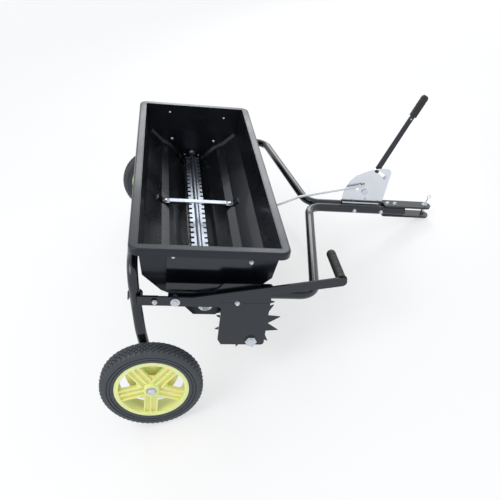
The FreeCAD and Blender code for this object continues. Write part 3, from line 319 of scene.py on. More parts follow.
# Tyre: a turned carcass with two moulded lines on each wall, staggered diamond blocks on the crown and lugs
# on the shoulders, one side's between the other's.
def makeTyre(name, side):
    look = {"turns": 120, "pitches": 60, "tread": 3.4, "sink": 0.4,
            # each wall from the bead to the crown: out from the rim's edge, in from the tyre's side
            "beadWall": ((-5.7, 5.3), (0.4, 5.3), (0.5, 2.2), (3.0, 1.2), (5.5, 0.9)),
            "lines": (8.5, 15.5), "lineShape": ((0.0, 0.4), (0.5, 2.8), (1.7, 2.8), (2.2, 0.1)),
            "shoulder": ((19.0, 0.0), (23.0, 0.3), (27.0, 1.6), (30.0, 4.0)),
            "crownEdge": ((0.6, 7.5), (0.0, 12.0)),  # in from the tread's base, in from the side
            "rows": 5, "rowStep": 5.4, "camber": 0.012,
            "blockLong": 5.2, "blockWide": 4.3, "blockTaper": 0.72,
            "lugWide": 7.0,
            "lugFoot": ((9.5, 0.4), (2.2, 7.0)),  # in from the side, in from the tread's base
            "lugTop": ((0.8, 8.6, 0.9), (0.7, 1.4, 6.5))}  # taper, in from the side, in from the crown
    place = wheelPlace(name, side)
    low, high = reach("tyre_" + name)
    crown = (high.z - low.z) / 2
    wide = (high.y - low.y) / 2
    rimLow, rimHigh = reach("wheel_rim_" + name)
    rim = (rimHigh.z - rimLow.z) / 2
    base = crown - look["tread"]

    wall = [(rim + out, wide - inset) for out, inset in look["beadWall"]]
    for line in look["lines"]:
        wall += [(rim + line + out, wide - inset) for out, inset in look["lineShape"]]
    wall += [(rim + out, wide - inset) for out, inset in look["shoulder"]]
    wall += [(base - drop, wide - inset) for drop, inset in look["crownEdge"]]
    otherWall = [(radius, -rise) for radius, rise in reversed(wall)]
    mesh = bmesh.new()
    lathe(mesh, place, wall + [(base, 0)] + otherWall, look["turns"], closed=True)

    step = 2 * math.pi / look["pitches"]
    long, across = look["blockLong"] / crown, look["blockWide"]
    diamond = ((long, 0), (0, across), (-long, 0), (0, -across))
    taper = look["blockTaper"]
    for row in range(look["rows"]):
        rise = (row - (look["rows"] - 1) / 2) * look["rowStep"]
        top = crown - look["camber"] * rise * rise
        for index in range(look["pitches"]):
            middle = (index + (row % 2) / 2) * step
            skin(mesh, [[polar(place, base - look["sink"], middle + a, rise + b) for a, b in diamond],
                        [polar(place, top, middle + a * taper, rise + b * taper) for a, b in diamond]])

    half = look["lugWide"] / 2 / crown
    foot = [(half, inset, base - drop) for inset, drop in look["lugFoot"]]
    peak = [(half * narrow, inset, crown - drop) for narrow, inset, drop in look["lugTop"]]
    for wallSide in (1, -1):
        for index in range(look["pitches"]):
            middle = (index + (0.5 if wallSide > 0 else 0)) * step
            outlines = []
            for edge in (foot, peak):
                corners = edge + [(-a, inset, radius) for a, inset, radius in reversed(edge)]
                outlines.append([polar(place, radius, middle + a, wallSide * (wide - inset))
                                 for a, inset, radius in corners])
            skin(mesh, outlines)
    piece = newPiece("tyreTread_" + name, mesh, "wheel_" + name, rubber, 30)
    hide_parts("tyre_" + name)


# Raised ring moulded round the axle's nut.
def makeHubRing(name, side):
    look = {"inner": 12.5, "outer": 18.6, "high": 2.2, "innerEase": 0.6, "outerEase": 1.2, "sink": 0.5}
    low, high = reach("wheel_rim_" + name)
    face = (high.y - low.y) / 2
    foot, top = face - look["sink"], face + look["high"]
    inner, outer = look["inner"], look["outer"]
    profile = [(inner, foot), (inner, top - look["innerEase"]), (inner + look["innerEase"], top),
               (outer - look["outerEase"], top), (outer, top - look["outerEase"]), (outer, foot)]
    mesh = bmesh.new()
    lathe(mesh, wheelPlace(name, side), profile, 64, closed=True)
    newPiece("hubRing_" + name, mesh, "wheel_" + name, plastic)


# Stub axle: collar, washer, hex nut and the domed end of the thread, in the space its solid holds.
def makeAxle(name, side):
    look = {"stub": 6.35, "stubEase": 0.8,
            "dome": ((0.0, 1.6), (1.2, 0.3)),  # in from the stub's side, in from its end
            "collar": 12.0, "collarThick": 4.3, "collarGap": 0.3, "collarEase": 0.6,
            "washer": 11.0, "washerGap": 0.2, "washerTop": 1.8, "washerEase": 0.4,
            "nut": 10.6, "nutTop": 6.0, "nutEase": 1.0}
    place = wheelPlace(name, side)
    hub = jointAt("wheel_%s_spin" % name)
    low, high = reach("axle_" + name)
    start, end = sorted([(low.y - hub.y) * side, (high.y - hub.y) * side])
    rimLow, rimHigh = reach("wheel_rim_" + name)
    face = (rimHigh.y - rimLow.y) / 2
    mesh = bmesh.new()
    stub, ease = look["stub"], look["stubEase"]
    dome = [(stub - inset, end - drop) for inset, drop in look["dome"]]
    lathe(mesh, place, [(0, start), (stub - ease, start), (stub, start + ease)] + dome + [(0, end)])
    collar, ease = look["collar"], look["collarEase"]
    near = -face - look["collarGap"]
    far = near - look["collarThick"]
    lathe(mesh, place, [(stub, far), (collar - ease, far), (collar, far + ease), (collar, near - ease),
                        (collar - ease, near), (stub, near)])
    washer, ease = look["washer"], look["washerEase"]
    under, over = face + look["washerGap"], face + look["washerTop"]
    lathe(mesh, place, [(stub, under), (washer, under), (washer, over - ease), (washer - ease, over),
                        (stub, over)])
    nut, ease = look["nut"], look["nutEase"]
    top = face + look["nutTop"]
    lathe(mesh, place, [(stub, over), (nut, over), (nut, top - ease), (nut - ease, top), (stub, top)], 6)
    piece = newPiece("axleStub_" + name, mesh, "wheel_carrier", zinc, 30)
    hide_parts("axle_" + name)


for name, side in bothSides:
    makeTyre(name, side)
    makeHubRing(name, side)
    makeAxle(name, side)
print("wheels done")


# A fastener's own place on a surface.
def seated(place, normal):
    return facing(place, normal, forward if abs(normal.dot(forward)) < nearlyAlong else left)


# Hex head or nut on a washer, standing on a surface; a nut shows the end of its bolt.
def addHex(mesh, place, normal, size):
    look = {"washerThick": 1.2, "washerEase": (0.4, 0.3), "headEase": 0.9, "turn": 0.3,
            "bolt": 0.52, "boltEase": 0.6,  # the bolt's radius as a share of its nut's
            "washerSink": 0.3, "headSink": 0.1, "boltSink": 0.5}  # into what each stands on
    seat = seated(place, normal)
    washer, head = size["washer"], size["head"]
    thick, top = look["washerThick"], look["washerThick"] + size["tall"]
    foot, (easeIn, easeDown) = -look["washerSink"], look["washerEase"]
    lathe(mesh, seat, [(0, foot), (washer, foot), (washer, thick - easeDown), (washer - easeIn, thick),
                       (0, thick)], 24)
    foot, ease = thick - look["headSink"], look["headEase"]
    lathe(mesh, seat, [(0, foot), (head, foot), (head, top - ease), (head - ease, top), (0, top)], 6,
          start=look["turn"])
    if "thread" in size:
        bolt, end, ease = head * look["bolt"], top + size["thread"], look["boltEase"]
        lathe(mesh, seat, [(bolt, top - look["boltSink"]), (bolt, end - ease), (bolt - ease, end), (0, end)],
              16)


# Domed rivet or weld: a short straight foot under a quarter round.
def addDome(mesh, place, normal, size):
    look = {"sink": 0.3, "foot": 0.25, "steps": 6, "turns": 24}
    radius, tall, foot = size["radius"], size["tall"], look["foot"]
    profile = [(radius, -look["sink"]), (radius, foot * tall)]
    for k in range(1, look["steps"]):
        angle = math.pi / 2 * k / look["steps"]
        profile.append((radius * math.cos(angle), tall * (foot + (1 - foot) * math.sin(angle))))
    lathe(mesh, seated(place, normal), profile + [(0, tall)], look["turns"])


# Hopper's ends: screws outside on the folded brackets, nuts and rivets inside, rivets by the bearings.
def makeHopperFasteners():
    look = {"inside": 300, "betweenSheets": 449,  # where seating lines start, out from the middle
            "screws": ((-84, -29), (97, -40)), "screw": {"washer": 5.6, "head": 4.8, "tall": 3.2},
            "upperNuts": ((-84, -26), (103, -35)),
            "upperNut": {"washer": 3.9, "head": 3.4, "tall": 2.6, "thread": 1.6},
            "lowerNuts": ((-73, -121), (74, -122)),
            "lowerNut": {"washer": 5.6, "head": 4.9, "tall": 3.6, "thread": 2.4},
            "rivets": ((-73, -121), (74, -122), (-27, -150), (27, -150)),
            "rivet": {"radius": 4.0, "tall": 2.2},
            "lowRivets": ((-24, -180), (24, -180)), "lowRivet": {"radius": 2.8, "tall": 1.8}}
    inside, between = look["inside"], look["betweenSheets"]
    mesh = bmesh.new()
    for name, side in bothSides:
        out = left * side
        for x, z in look["screws"]:
            addHex(mesh, *touch("end_bracket_" + name, spot(x, side * beyond, z), -out), look["screw"])
        for x, z in look["upperNuts"]:
            addHex(mesh, *touch("hopper_body", spot(x, side * inside, z), out), look["upperNut"])
        for x, z in look["lowerNuts"]:
            addHex(mesh, *touch("hopper_body", spot(x, side * inside, z), out), look["lowerNut"])
        for x, z in look["rivets"]:
            addDome(mesh, *touch("hopper_body", spot(x, side * between, z), -out), look["rivet"])
        for x, z in look["lowRivets"]:
            addDome(mesh, *touch("hopper_body", spot(x, side * inside, z), out), look["lowRivet"])
    newPiece("hopperFasteners", mesh, "chassis", zinc)


# Brace bar: cold-rolled flat with eased corners, laid over the tabs of both brackets.
def makeBraceBar():
    look = {"half": 84.0, "ease": 0.8,
            "narrow": 3.0, "thin": 0.8,  # less wide, a side, and less thick than its solid
            "overTab": 6.0}  # in from its solid's end, where the bracket's tab is
    low, high = reach("hopper_brace")
    deck, normal = touch("brace_brackets", spot(high.x - look["overTab"], 0, 0), -up)
    ease = look["ease"]
    near, far = low.y + look["narrow"], high.y - look["narrow"]
    under = inMachine(deck).z
    over = under + high.z - low.z - look["thin"]
    section = [(near, under + ease), (near + ease, under), (far - ease, under), (far, under + ease),
               (far, over - ease), (far - ease, over), (near + ease, over), (near, over - ease)]
    mesh = bmesh.new()
    skin(mesh, [[spot(x, y, z) for y, z in section] for x in (-look["half"], look["half"])])
    # the bar takes the zinc whose darker colour is painted shade
    piece = newPiece("braceBar", mesh, "chassis", shadeDarkenedZinc, 20)
    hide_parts("hopper_brace")


# One bolt down through each end of the brace.
def makeBraceBolts():
    look = {"places": (-94, 94), "bolt": {"washer": 5.0, "head": 4.2, "tall": 3.0}}
    mesh = bmesh.new()
    for x in look["places"]:
        addHex(mesh, *touch("brace_brackets", spot(x, 0, 0), -up), look["bolt"])
    newPiece("braceBolts", mesh, "chassis", zinc)


# Side plates: the bolt into each frame tube, and hex heads on the pivot pins.
def makePlateBolts():
    look = {"tube": (72, -141), "bolt": {"washer": 6.2, "head": 5.4, "tall": 3.6},
            "pivot": {"washer": 7.4, "head": 6.4, "tall": 3.8}}
    pivot = jointAt("carrier_lift")
    x, z = look["tube"]
    mesh = bmesh.new()
    for name, side in bothSides:
        inward = -left * side
        addHex(mesh, *touch("side_plate_" + name, spot(x, side * beyond, z), inward), look["bolt"])
        start = spot(pivot.x, side * beyond, pivot.z)
        addHex(mesh, *touch("pivot_pin_" + name, start, inward), look["pivot"])
    newPiece("plateBolts", mesh, "chassis", zinc)


# Clamps that hold the wheel carrier's legs: a nut on each.
def makeClampNuts():
    look = {"fromFront": 8, "nut": {"washer": 6.2, "head": 5.4, "tall": 3.8, "thread": 2.5}}
    mesh = bmesh.new()
    for name, side in bothSides:
        low, high = reach("leg_clamp_" + name)
        start = spot(high.x - look["fromFront"], side * beyond, (low.z + high.z) / 2)
        addHex(mesh, *touch("leg_clamp_" + name, start, -left * side), look["nut"])
    newPiece("clampNuts", mesh, "wheel_carrier", zinc)


# Pressed crease along each side plate.
def makePlateCrease():
    look = {"line": ((14, -141), (149, -141)), "bead": 0.9}
    mesh = bmesh.new()
    for name, side in bothSides:
        low, high = reach("side_plate_" + name)
        face = low.y if side < 0 else high.y
        wire(mesh, [spot(x, face, z) for x, z in look["line"]], look["bead"], 8)
    newPiece("plateCrease", mesh, "chassis", frameCoat)


# Agitator's bearings: rivets round each flange.
def makeBearingRivets():
    look = {"circle": 14.2, "count": 4, "rivet": {"radius": 2.0, "tall": 1.1}}
    hub = jointAt("agitator_spin")
    mesh = bmesh.new()
    for name, side in bothSides:
        for angle in fullTurn(look["count"], math.pi / 4):
            start = spot(hub.x + look["circle"] * math.cos(angle), side * beyond,
                         hub.z + look["circle"] * math.sin(angle))
            addDome(mesh, *touch("agitator_bearing_" + name, start, -left * side), look["rivet"])
    newPiece("bearingRivets", mesh, "chassis", zinc)


# Tongue and hitch: bolts across the two tubes and down through the straps, with their nuts.
def makeHitchBolts():
    look = {"across": (476, 561), "start": 200, "straps": (585, 609), "aside": -3, "below": -300,
            "bolt": {"washer": 6.0, "head": 5.4, "tall": 3.6},
            "nut": {"washer": 6.0, "head": 5.6, "tall": 4.2, "thread": 2.0}}
    low, high = reach("frame_tube_right")
    middle = (low.z + high.z) / 2
    mesh = bmesh.new()
    for x in look["across"]:
        addHex(mesh, *touch("frame_tube_right", spot(x, -look["start"], middle), left), look["bolt"])
        addHex(mesh, *touch("frame_tube_left", spot(x, look["start"], middle), -left), look["nut"])
    for x in look["straps"]:
        addHex(mesh, *touch("hitch_strap_upper", spot(x, look["aside"], 0), -up), look["bolt"])
        addHex(mesh, *touch("hitch_strap_lower", spot(x, look["aside"], look["below"]), up), look["nut"])
    newPiece("hitchBolts", mesh, "chassis", zinc)


# Hitch pin: a collared pin through both straps, and a leaning wire handle with a ring.
def makeHitchPin():
    look = {"radius": 6.0, "drop": 4.5, "point": ((2.0, 0.0), (0.0, 4.0)),  # in from the side, from the tip
            # collar and head: out from the pin's side, up from the straps
            "top": ((0.0, 0.3), (2.5, 0.3), (2.5, 2.0), (1.7, 2.6), (0.0, 2.6), (0.0, 5.0), (-1.2, 6.4)),
            "wire": 1.7, "foot": 4.0, "lean": 6.0, "rise": 20.0,
            "ring": 5.0, "ringWire": 1.36, "ringSteps": 28}
    low, high = reach("hitch_strap_upper", "hitch_strap_lower")
    x = high.x - (high.y - low.y) / 2  # middle of the straps' round ends
    tip = low.z - look["drop"]
    radius = look["radius"]
    profile = [(0, tip)] + [(radius - inset, tip + along) for inset, along in look["point"]]
    profile += [(radius + out, high.z + rise) for out, rise in look["top"]]
    profile.append((0, profile[-1][1]))
    mesh = bmesh.new()
    lathe(mesh, facing(spot(x, 0, 0), up, forward), profile)
    start = Vector((x, 0, high.z + look["foot"]))
    rise = Vector((look["lean"], 0, look["rise"]))
    wire(mesh, [spot(*start), spot(*(start + rise))], look["wire"])
    hoop = start + rise + rise.normalized() * look["ring"]
    ring = [spot(hoop.x + look["ring"] * math.cos(angle), 0, hoop.z + look["ring"] * math.sin(angle))
            for angle in fullTurn(look["ringSteps"])]
    wire(mesh, ring, look["ringWire"], loop=True)
    newPiece("hitchPin", mesh, "chassis", zinc)


# Points along a plate's edge, eased round each corner over a length, or over a share of a run that is too
# short for it.
def easedLoop(points, steps, ease, most=0.45):
    loop = []
    for index, here in enumerate(points):
        before, after = points[index - 1], points[(index + 1) % len(points)]
        one = here.lerp(before, min(most, ease / (before - here).length))
        two = here.lerp(after, min(most, ease / (after - here).length))
        for step in range(steps + 1):
            t = step / steps
            loop.append(one.lerp(here, t).lerp(here.lerp(two, t), t))
    return loop


# Outline of a slot with round ends along an arc about the origin, its angles in degrees.
def arcSlot(radius, first, last, half, steps=16, endSteps=8):
    def at(angle, length):
        return Vector((math.cos(angle), math.sin(angle))) * length

    angles = [math.radians(first + (last - first) * k / steps) for k in range(steps + 1)]
    turns = [math.pi * k / endSteps for k in range(1, endSteps)]
    outer = [at(angle, radius + half) for angle in angles]
    farEnd = [at(angles[-1], radius) + at(angles[-1] + turn, half) for turn in turns]
    inner = [at(angle, radius - half) for angle in reversed(angles)]
    nearEnd = [at(angles[0], radius) + at(angles[0] + math.pi + turn, half) for turn in turns]
    return outer + farEnd + inner + nearEnd


# Quadrant's plate: its outline and slots are forward and up from the flow lever's pivot, and each slot has
# its radius, first and last angle and half width. Both quadrant functions read it.
quadrant = {"outline": ((-66, -44), (-65, -8), (-60, 12), (-49, 36), (-35, 53), (-16, 66), (8, 75), (32, 79),
                        (60, 79), (69, 70), (67, 30), (63, -44)),
            "front": -8.0, "back": -5.0, "ease": 7.0, "easeSteps": 4, "trim": 0.4,
            "arc": (73.0, 44.0, 74.0, 4.6), "hook": (26.0, 110.0, 160.0, 4.5),
            "bend": 34, "firstCut": 2, "cutStep": 4, "sweep": 6.0,
            "footWide": 24.0, "footThick": 3.0, "footShort": (6, 12), "footOverlap": 0.5}


# Zinc-plated plate with a swept back edge, an arc slot and a hook slot, which bends into a folded foot: it
# is cut in level strips up to the height of the bend, and those are swept aside.
def makeQuadrantPlate():
    look = quadrant
    pivot = jointAt("flow_lever_swing")
    low, high = reach("quadrant")
    outline = easedLoop([Vector(p) for p in look["outline"]], look["easeSteps"], look["ease"])
    lowest = low.z - pivot.z + look["trim"]
    outline = [Vector((p.x, max(p.y, lowest))) for p in outline]
    loops = [outline, arcSlot(*look["arc"]), arcSlot(*look["hook"])]
    mesh = bmesh.new()
    faces = []
    for y in (look["front"], look["back"]):
        rings = [[mesh.verts.new(spot(pivot.x + p.x, y, pivot.z + p.y)) for p in loop] for loop in loops]
        edges = [mesh.edges.new((ring[k - 1], ring[k])) for ring in rings for k in range(len(ring))]
        bmesh.ops.triangle_fill(mesh, edges=edges, use_beauty=True)
        faces.append(rings)
    for one, two in zip(*faces):
        for k in range(len(one)):
            mesh.faces.new([one[k - 1], one[k], two[k], two[k - 1]])
    for level in range(look["firstCut"], look["bend"] + 1, look["cutStep"]):
        bmesh.ops.bisect_plane(mesh, geom=mesh.verts[:] + mesh.edges[:] + mesh.faces[:],
                               plane_co=spot(0, 0, low.z + level), plane_no=up)
    for vert in mesh.verts:
        above = inMachine(vert.co).z - low.z
        if above < look["bend"]:
            vert.co += left * look["sweep"] * (1 - above / look["bend"]) ** 2 * mm
    first = pivot.x + min(p.x for p in outline) + look["footShort"][0]
    last = pivot.x + max(p.x for p in outline) - look["footShort"][1]
    near, far = look["back"] - look["footOverlap"], look["footWide"]
    foot = [(first, near), (last, near), (last, far), (first, far)]
    skin(mesh, [[spot(x, y, z) for x, y in foot] for z in (low.z, low.z + look["footThick"])])
    piece = newPiece("quadrantPlate", mesh, "chassis", sheetZinc, 30)
    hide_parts("quadrant")


# Quadrant's bolts: the stop at the front end of the arc slot, one low on the plate, and the foot's.
def makeQuadrantBolts():
    look = {"stop": {"washer": 6.4, "head": 5.4, "tall": 3.6, "thread": 2.6},
            "rivetAt": (8.0, -24.0), "rivet": {"radius": 3.0, "tall": 1.8},
            "boltsAt": ((-42, 15), (46, 15)), "bolt": {"washer": 5.2, "head": 4.6, "tall": 3.2}}
    pivot = jointAt("flow_lever_swing")
    low, high = reach("quadrant")
    radius, angle = quadrant["arc"][0], math.radians(quadrant["arc"][1])
    stopAt = (radius * math.cos(angle), radius * math.sin(angle))
    mesh = bmesh.new()
    for (x, z), add, size in ((stopAt, addHex, look["stop"]), (look["rivetAt"], addDome, look["rivet"])):
        add(mesh, spot(pivot.x + x, quadrant["front"], pivot.z + z), -left, size)
    for x, y in look["boltsAt"]:
        addHex(mesh, spot(pivot.x + x, y, low.z + quadrant["footThick"]), up, look["bolt"])
    newPiece("quadrantBolts", mesh, "chassis", zinc)


makeHopperFasteners()
makeBraceBar()
makeBraceBolts()
makePlateBolts()
makeClampNuts()
makePlateCrease()
makeBearingRivets()
makeHitchBolts()
makeHitchPin()
makeQuadrantPlate()
makeQuadrantBolts()
print("fasteners done")


# Agitator's blades: zinc strip with square teeth and round-bottomed gaps along each outer edge.
def makeAgitatorTeeth():
    look = {"half": 402.0, "pitch": 27.0, "land": 16.5, "depth": 9.04, "round": 2.64, "roundSteps": 6,
            "ease": 0.9, "overlap": 0.5}  # half: the strip's half length; overlap: into the shaft
    pivot = jointAt("agitator_spin")
    low, high = reach("agitator_blades")
    shaftLow, shaftHigh = reach("agitator_shaft")
    inner = (shaftHigh.x - shaftLow.x) / 2 - look["overlap"]
    outer = (high.x - low.x) / 2
    half, gap, ease = look["land"] / 2, look["pitch"] - look["land"], look["ease"]
    # from the middle of one tooth, through the gap, to the start of the next
    tooth = [(outer, 0), (outer, half - ease), (outer - ease, half)]
    for step in range(look["roundSteps"] + 1):
        angle = math.pi * step / look["roundSteps"]
        tooth.append((outer - look["depth"] + look["round"] * (1 - math.sin(angle)),
                      half + gap / 2 * (1 - math.cos(angle))))
    tooth += [(outer - ease, half + gap), (outer, half + gap + ease)]
    count = int(2 * look["half"] / look["pitch"])  # whole teeth only
    start = -count * look["pitch"] / 2
    edge = [(x, start + index * look["pitch"] + y) for index in range(count) for x, y in tooth]
    outline = [(inner, start)] + edge + [(outer, -start), (inner, -start)]
    mesh = bmesh.new()
    for side in (1, -1):
        skin(mesh, [[spot(pivot.x + side * x, y, z) for x, y in outline] for z in (low.z, high.z)])
    # the teeth take the zinc whose darker colour is painted shade
    piece = newPiece("agitatorTeeth", mesh, "agitator", shadeDarkenedZinc, 30)
    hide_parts("agitator_blades")


# Thin star of plastic that closes the inner half of each window.
def makeWheelWeb(name, side):
    look = {"points": 5, "steps": 12, "tip": 66.0, "waist": 52.0, "bow": 1.5, "inner": 18.0, "thick": 2.2,
            "sink": 9.0}
    place = wheelPlace(name, side)
    star = []
    for k, angle in enumerate(fullTurn(look["points"] * look["steps"], math.pi / 2)):
        share = abs(2 * (k % look["steps"]) / look["steps"] - 1)  # 1 at a tip, 0 halfway to the next
        star.append((look["waist"] + (look["tip"] - look["waist"]) * share ** look["bow"], angle))
    hole = [(look["inner"], angle) for radius, angle in star]
    under, over = -look["sink"], -look["sink"] + look["thick"]
    mesh = bmesh.new()
    skin(mesh, [[polar(place, radius, angle, rise) for radius, angle in edge]
                for edge, rise in ((star, under), (star, over), (hole, over), (hole, under))], loop=True)
    newPiece("wheelWeb_" + name, mesh, "wheel_" + name, plastic)


# Flanges of the hopper's end sheets, folded in and spot-welded down the sloping walls.
def makeHopperSeams():
    look = {"wide": 12.0, "thick": 0.8, "fold": 8.0, "gap": 0.4,  # fold: the flange's rise at the end sheet
            "heights": (-92.0, -128.5, -131.5, -139.0, -142.0, -196.0),  # wall, the ledge's bends, wall
            "insideAt": 300, "wallAt": 400,  # where seating lines start, out from the middle
            "weld": {"radius": 2.6, "tall": 0.7}, "weldPitch": 28.0, "weldIn": 0.2}
    flanges = bmesh.new()
    welds = bmesh.new()
    for side in (1, -1):
        inside = spot(0, side * look["insideAt"], look["heights"][-1])
        sheet, normal = touch("hopper_body", inside, left * side)
        end = inMachine(sheet).y - side * look["gap"]
        near = end - side * look["wide"]
        for lean in (1, -1):
            marks = []
            for z in look["heights"]:
                place, normal = touch("hopper_body", spot(0, side * look["wallAt"], z), forward * lean)
                marks.append((inMachine(place), tipped.inverted() @ normal))
            outlines = []
            for mark, slope in marks:
                inEdge, outEdge = Vector((mark.x, near, mark.z)), Vector((mark.x, end, mark.z))
                corners = (inEdge, outEdge, outEdge + slope * look["fold"], inEdge + slope * look["thick"])
                outlines.append([spot(*corner) for corner in corners])
            skin(flanges, outlines)
            for (one, slope), (two, nextSlope) in zip(marks, marks[1:]):
                count = int((two - one).length / look["weldPitch"])
                for index in range(count):
                    middle = one.lerp(two, (index + 0.5) / count) + slope * look["thick"] * 2
                    place = spot(middle.x, near + (end - near) * look["weldIn"], middle.z)
                    addDome(welds, place, tipped @ slope, look["weld"])
    newPiece("hopperSeams", flanges, "chassis", hopperCoat)
    newPiece("hopperSpotWelds", welds, "chassis", hopperCoat)


# Grip on the transport lever: vinyl sleeve with a flange, shallow finger rings and a rounded end.
def makeLeverSleeve():
    look = {"flange": 3.0, "flangeEase": 0.8, "flangeFoot": 0.6, "thin": 1.8,
            "rings": 9, "ringsFrom": 10.0, "ringsTo": 22.0,
            "ringShape": ((0.0, 0.0), (1.2, 0.7), (2.6, 0.7), (3.8, 0.0)),  # along the grip, deep
            "nose": 9.0, "noseSteps": 8}
    low, high = reach("lever_grip")
    radius = (high.z - low.z) / 2
    long = high.y - low.y
    body, flange, ease, nose = radius - look["thin"], look["flange"], look["flangeEase"], look["nose"]
    profile = [(0, 0), (radius, 0), (radius, flange - ease), (radius - ease, flange),
               (body, flange + look["flangeFoot"])]
    first, last = flange + look["ringsFrom"], long - look["ringsTo"]
    for index in range(look["rings"]):
        start = first + (last - first) * index / look["rings"]
        profile += [(body - deep, start + along) for along, deep in look["ringShape"]]
    for step in range(look["noseSteps"] + 1):
        angle = math.pi / 2 * step / look["noseSteps"]
        profile.append((body - nose + nose * math.cos(angle), long - nose + nose * math.sin(angle)))
    profile.append((0, long))
    place = facing(spot((low.x + high.x) / 2, low.y, (low.z + high.z) / 2), left, forward)
    mesh = bmesh.new()
    lathe(mesh, place, profile, 48)
    piece = newPiece("leverSleeve", mesh, "wheel_carrier", vinyl, 40)
    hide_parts("lever_grip")


# The flow lever's pivot, the way from it towards a place on the lever, and the way across.
def leverAxes(towards):
    pivot = jointAt("flow_lever_swing")
    axis = towards - pivot
    axis.y = 0
    axis.normalize()
    return pivot, axis, Vector((-axis.z, 0, axis.x))


# Blade of the flow lever: a flat bar, widest where it leaves the quadrant, with eased edges.
def makeFlowBlade():
    look = {"start": 72.0, "end": 252.0, "startHalf": 3.6, "footAfter": 8.0, "footHalf": 8.6, "tipHalf": 7.2,
            "thickHalf": 2.3, "ease": 0.5}
    low, high = reach("flow_lever_grip")
    pivot, axis, across = leverAxes((low + high) / 2)
    edge = [(look["start"], look["startHalf"]), (look["start"] + look["footAfter"], look["footHalf"]),
            (look["end"], look["tipHalf"])]
    thick, ease = look["thickHalf"], look["ease"]
    outlines = []
    for y, trim in ((thick, ease), (thick - ease, 0), (ease - thick, 0), (-thick, ease)):
        corners = [(along, half - trim) for along, half in edge]
        corners += [(along, -half) for along, half in reversed(corners)]
        outlines.append([spot(*(pivot + axis * along + across * half + Vector((0, y, 0))))
                         for along, half in corners])
    mesh = bmesh.new()
    skin(mesh, outlines)
    newPiece("flowLeverBlade", mesh, "flow_lever", frameCoat, 20)


# Grip on the flow lever: a flat vinyl sleeve with rounded edges, faint ribs and a narrowing end; a rivet
# holds the blade below it.
def makeFlowSleeve():
    look = {"bare": 0.25, "round": 3.6, "roundSteps": 5, "stations": 20, "endFrom": 0.86, "endPinch": 0.72,
            "rib": 0.035, "ribs": (3, 6, 9, 12, 15), "rivetDrop": 9.0, "rivetFace": -2.3,
            "rivet": {"radius": 2.4, "tall": 1.2}}
    low, high = reach("flow_lever_grip")
    middle, thick = (high.y + low.y) / 2, (high.y - low.y) / 2
    points = [inMachine(v.co) for v in frame["nodes"]["flow_lever_grip"].data.vertices]
    pivot, axis, across = leverAxes(sum(points, Vector()) / len(points))
    along = [(point - pivot).dot(axis) for point in points]
    start, end = min(along), max(along)
    start += (end - start) * look["bare"]
    half = max((point - pivot).dot(across) for point in points)
    bend, steps = look["round"], look["roundSteps"]
    quarters = ((1, 1), (-1, 1), (-1, -1), (1, -1))
    outlines = []
    for index in range(look["stations"] + 1):
        share = index / look["stations"]
        fade = max(0.0, (share - look["endFrom"]) / (1 - look["endFrom"]))
        pinch = math.sqrt(1 - fade * fade * look["endPinch"])
        swell = 1 - (look["rib"] if index in look["ribs"] else 0)
        outline = []
        for quarter, (wideSign, thickSign) in enumerate(quarters):
            for step in range(steps):
                angle = math.pi / 2 * (quarter + step / (steps - 1))
                wide = wideSign * (half * pinch * swell - bend) + bend * math.cos(angle)
                deep = thickSign * (thick * swell - bend) + bend * math.sin(angle)
                at = pivot + axis * (start + (end - start) * share) + across * wide
                outline.append(spot(at.x, middle + deep, at.z))
        outlines.append(outline)
    mesh = bmesh.new()
    skin(mesh, outlines)
    piece = newPiece("flowLeverSleeve", mesh, "flow_lever", vinyl, 50)
    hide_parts("flow_lever_grip")

    mesh = bmesh.new()
    at = pivot + axis * (start - look["rivetDrop"])
    addDome(mesh, spot(at.x, look["rivetFace"], at.z), -left, look["rivet"])
    newPiece("flowLeverRivet", mesh, "flow_lever", zinc)


makeAgitatorTeeth()
for name, side in bothSides:
    makeWheelWeb(name, side)
makeHopperSeams()
makeLeverSleeve()
makeFlowBlade()
makeFlowSleeve()
print("trim done")


# A pale floor that runs out to white: to the eye and in reflections it is partly lit paint and partly plain
# white, so that the machine's shadow stays soft.
def makeFloor():
    look = {"half": 12.0, "smooth": 0.16, "dull": 0.24, "cloud": 900.0, "grain": 400.0, "deep": "#f2f4f4",
            "light": "#f8f8f8", "plain": 0.62}
    half = look["half"]
    corners = [(-half, -half, 0), (half, -half, 0), (half, half, 0), (-half, half, 0)]
    mesh = bpy.data.meshes.new("floor")
    mesh.from_pydata(corners, [], [(0, 1, 2, 3)])
    floor = bpy.data.objects.new("floor", mesh)
    bpy.context.collection.objects.link(floor)
    finish = startFinish("paintedFloor", look)
    tree = finish["tree"]
    paint = addNode(tree, "ShaderNodeBsdfPrincipled", {"IOR": 1.45},
                    {"Base Color": finish["tint"], "Roughness": finish["rough"]})
    white = addNode(tree, "ShaderNodeEmission", {"Color": linear("#ffffff"), "Strength": 1.0})
    ray = addNode(tree, "ShaderNodeLightPath")
    seen = addNode(tree, "ShaderNodeMath", {"operation": "MAXIMUM"},
                   {0: ray.outputs["Is Camera Ray"], 1: ray.outputs["Is Glossy Ray"]})
    share = addNode(tree, "ShaderNodeMath", {"operation": "MULTIPLY", 1: look["plain"]},
                    {0: seen.outputs[0]})
    mix = addNode(tree, "ShaderNodeMixShader", {},
                  {0: share.outputs[0], 1: paint.outputs["BSDF"], 2: white.outputs[0]})
    addNode(tree, "ShaderNodeOutputMaterial", {}, {"Surface": mix.outputs[0]})
    mesh.materials.append(finish["material"])


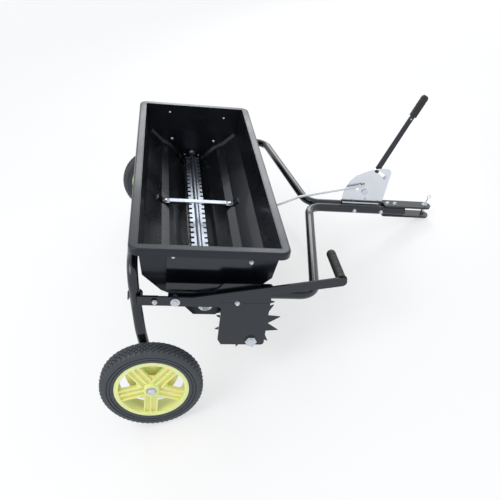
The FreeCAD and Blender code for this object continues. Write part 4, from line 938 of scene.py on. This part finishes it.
# White studio: plain white to the eye and in reflections, a softer cool white as light.
def makeWorld():
    look = {"light": "#f0f3f7", "strength": 0.92}
    world = bpy.data.worlds.new("studio")
    bpy.context.scene.world = world
    world.use_nodes = True
    tree = world.node_tree
    tree.nodes.clear()
    ray = addNode(tree, "ShaderNodeLightPath")
    gloss = addNode(tree, "ShaderNodeMath", {"operation": "MAXIMUM"},
                    {0: ray.outputs["Is Glossy Ray"], 1: ray.outputs["Is Transmission Ray"]})
    seen = addNode(tree, "ShaderNodeMath", {"operation": "MAXIMUM"},
                   {0: ray.outputs["Is Camera Ray"], 1: gloss.outputs[0]})
    soft = addNode(tree, "ShaderNodeBackground",
                   {"Color": linear(look["light"]), "Strength": look["strength"]})
    white = addNode(tree, "ShaderNodeBackground", {"Color": linear("#ffffff"), "Strength": 1.0})
    mix = addNode(tree, "ShaderNodeMixShader", {},
                  {0: seen.outputs[0], 1: soft.outputs[0], 2: white.outputs[0]})
    addNode(tree, "ShaderNodeOutputWorld", {}, {"Surface": mix.outputs[0]})


# Two soft lamps aimed at the middle of the machine; the back one shines off the hopper's rim.
def makeLamps():
    looks = {"key": {"offset": (-1.8, -1.2, 2.6), "size": (2.0, 1.6), "power": 34},
             "back": {"offset": (0.8, 2.65, 1.25), "size": (1.7, 0.9), "power": 15}}
    for name, look in looks.items():
        data = bpy.data.lights.new(name, "AREA")
        data.shape = "RECTANGLE"
        data.size, data.size_y = look["size"]
        data.energy = look["power"]
        lamp = bpy.data.objects.new(name, data)
        offset = Vector(look["offset"])
        lamp.location = (low + high) / 2 + offset
        lamp.rotation_mode = "QUATERNION"
        lamp.rotation_quaternion = (-offset).to_track_quat("-Z", "Y")
        lamp.visible_camera = False
        bpy.context.collection.objects.link(lamp)


# A camera above the right side, rolled so that the tipped machine lies level in view.
def makeCamera():
    look = {"place": (-0.0028, -1.569, 1.1446), "azimuth": -3.353, "elevation": 34.68, "roll": 17.733,
            "lens": 43.4}
    data = bpy.data.cameras.new("camera")
    data.lens = look["lens"]
    data.sensor_width = 36
    camera = bpy.data.objects.new("camera", data)
    turn, rise = math.radians(look["azimuth"]), math.radians(look["elevation"])
    along = Vector((math.sin(turn) * math.cos(rise), math.cos(turn) * math.cos(rise), -math.sin(rise)))
    roll = Matrix.Rotation(math.radians(-look["roll"]), 3, "Z").to_quaternion()
    camera.location = look["place"]
    camera.rotation_mode = "QUATERNION"
    camera.rotation_quaternion = along.to_track_quat("-Z", "Y") @ roll
    bpy.context.collection.objects.link(camera)
    bpy.context.scene.camera = camera


makeFloor()
makeWorld()
makeLamps()
makeCamera()
bpy.context.scene.view_settings.view_transform = "Standard"
print("stage done")
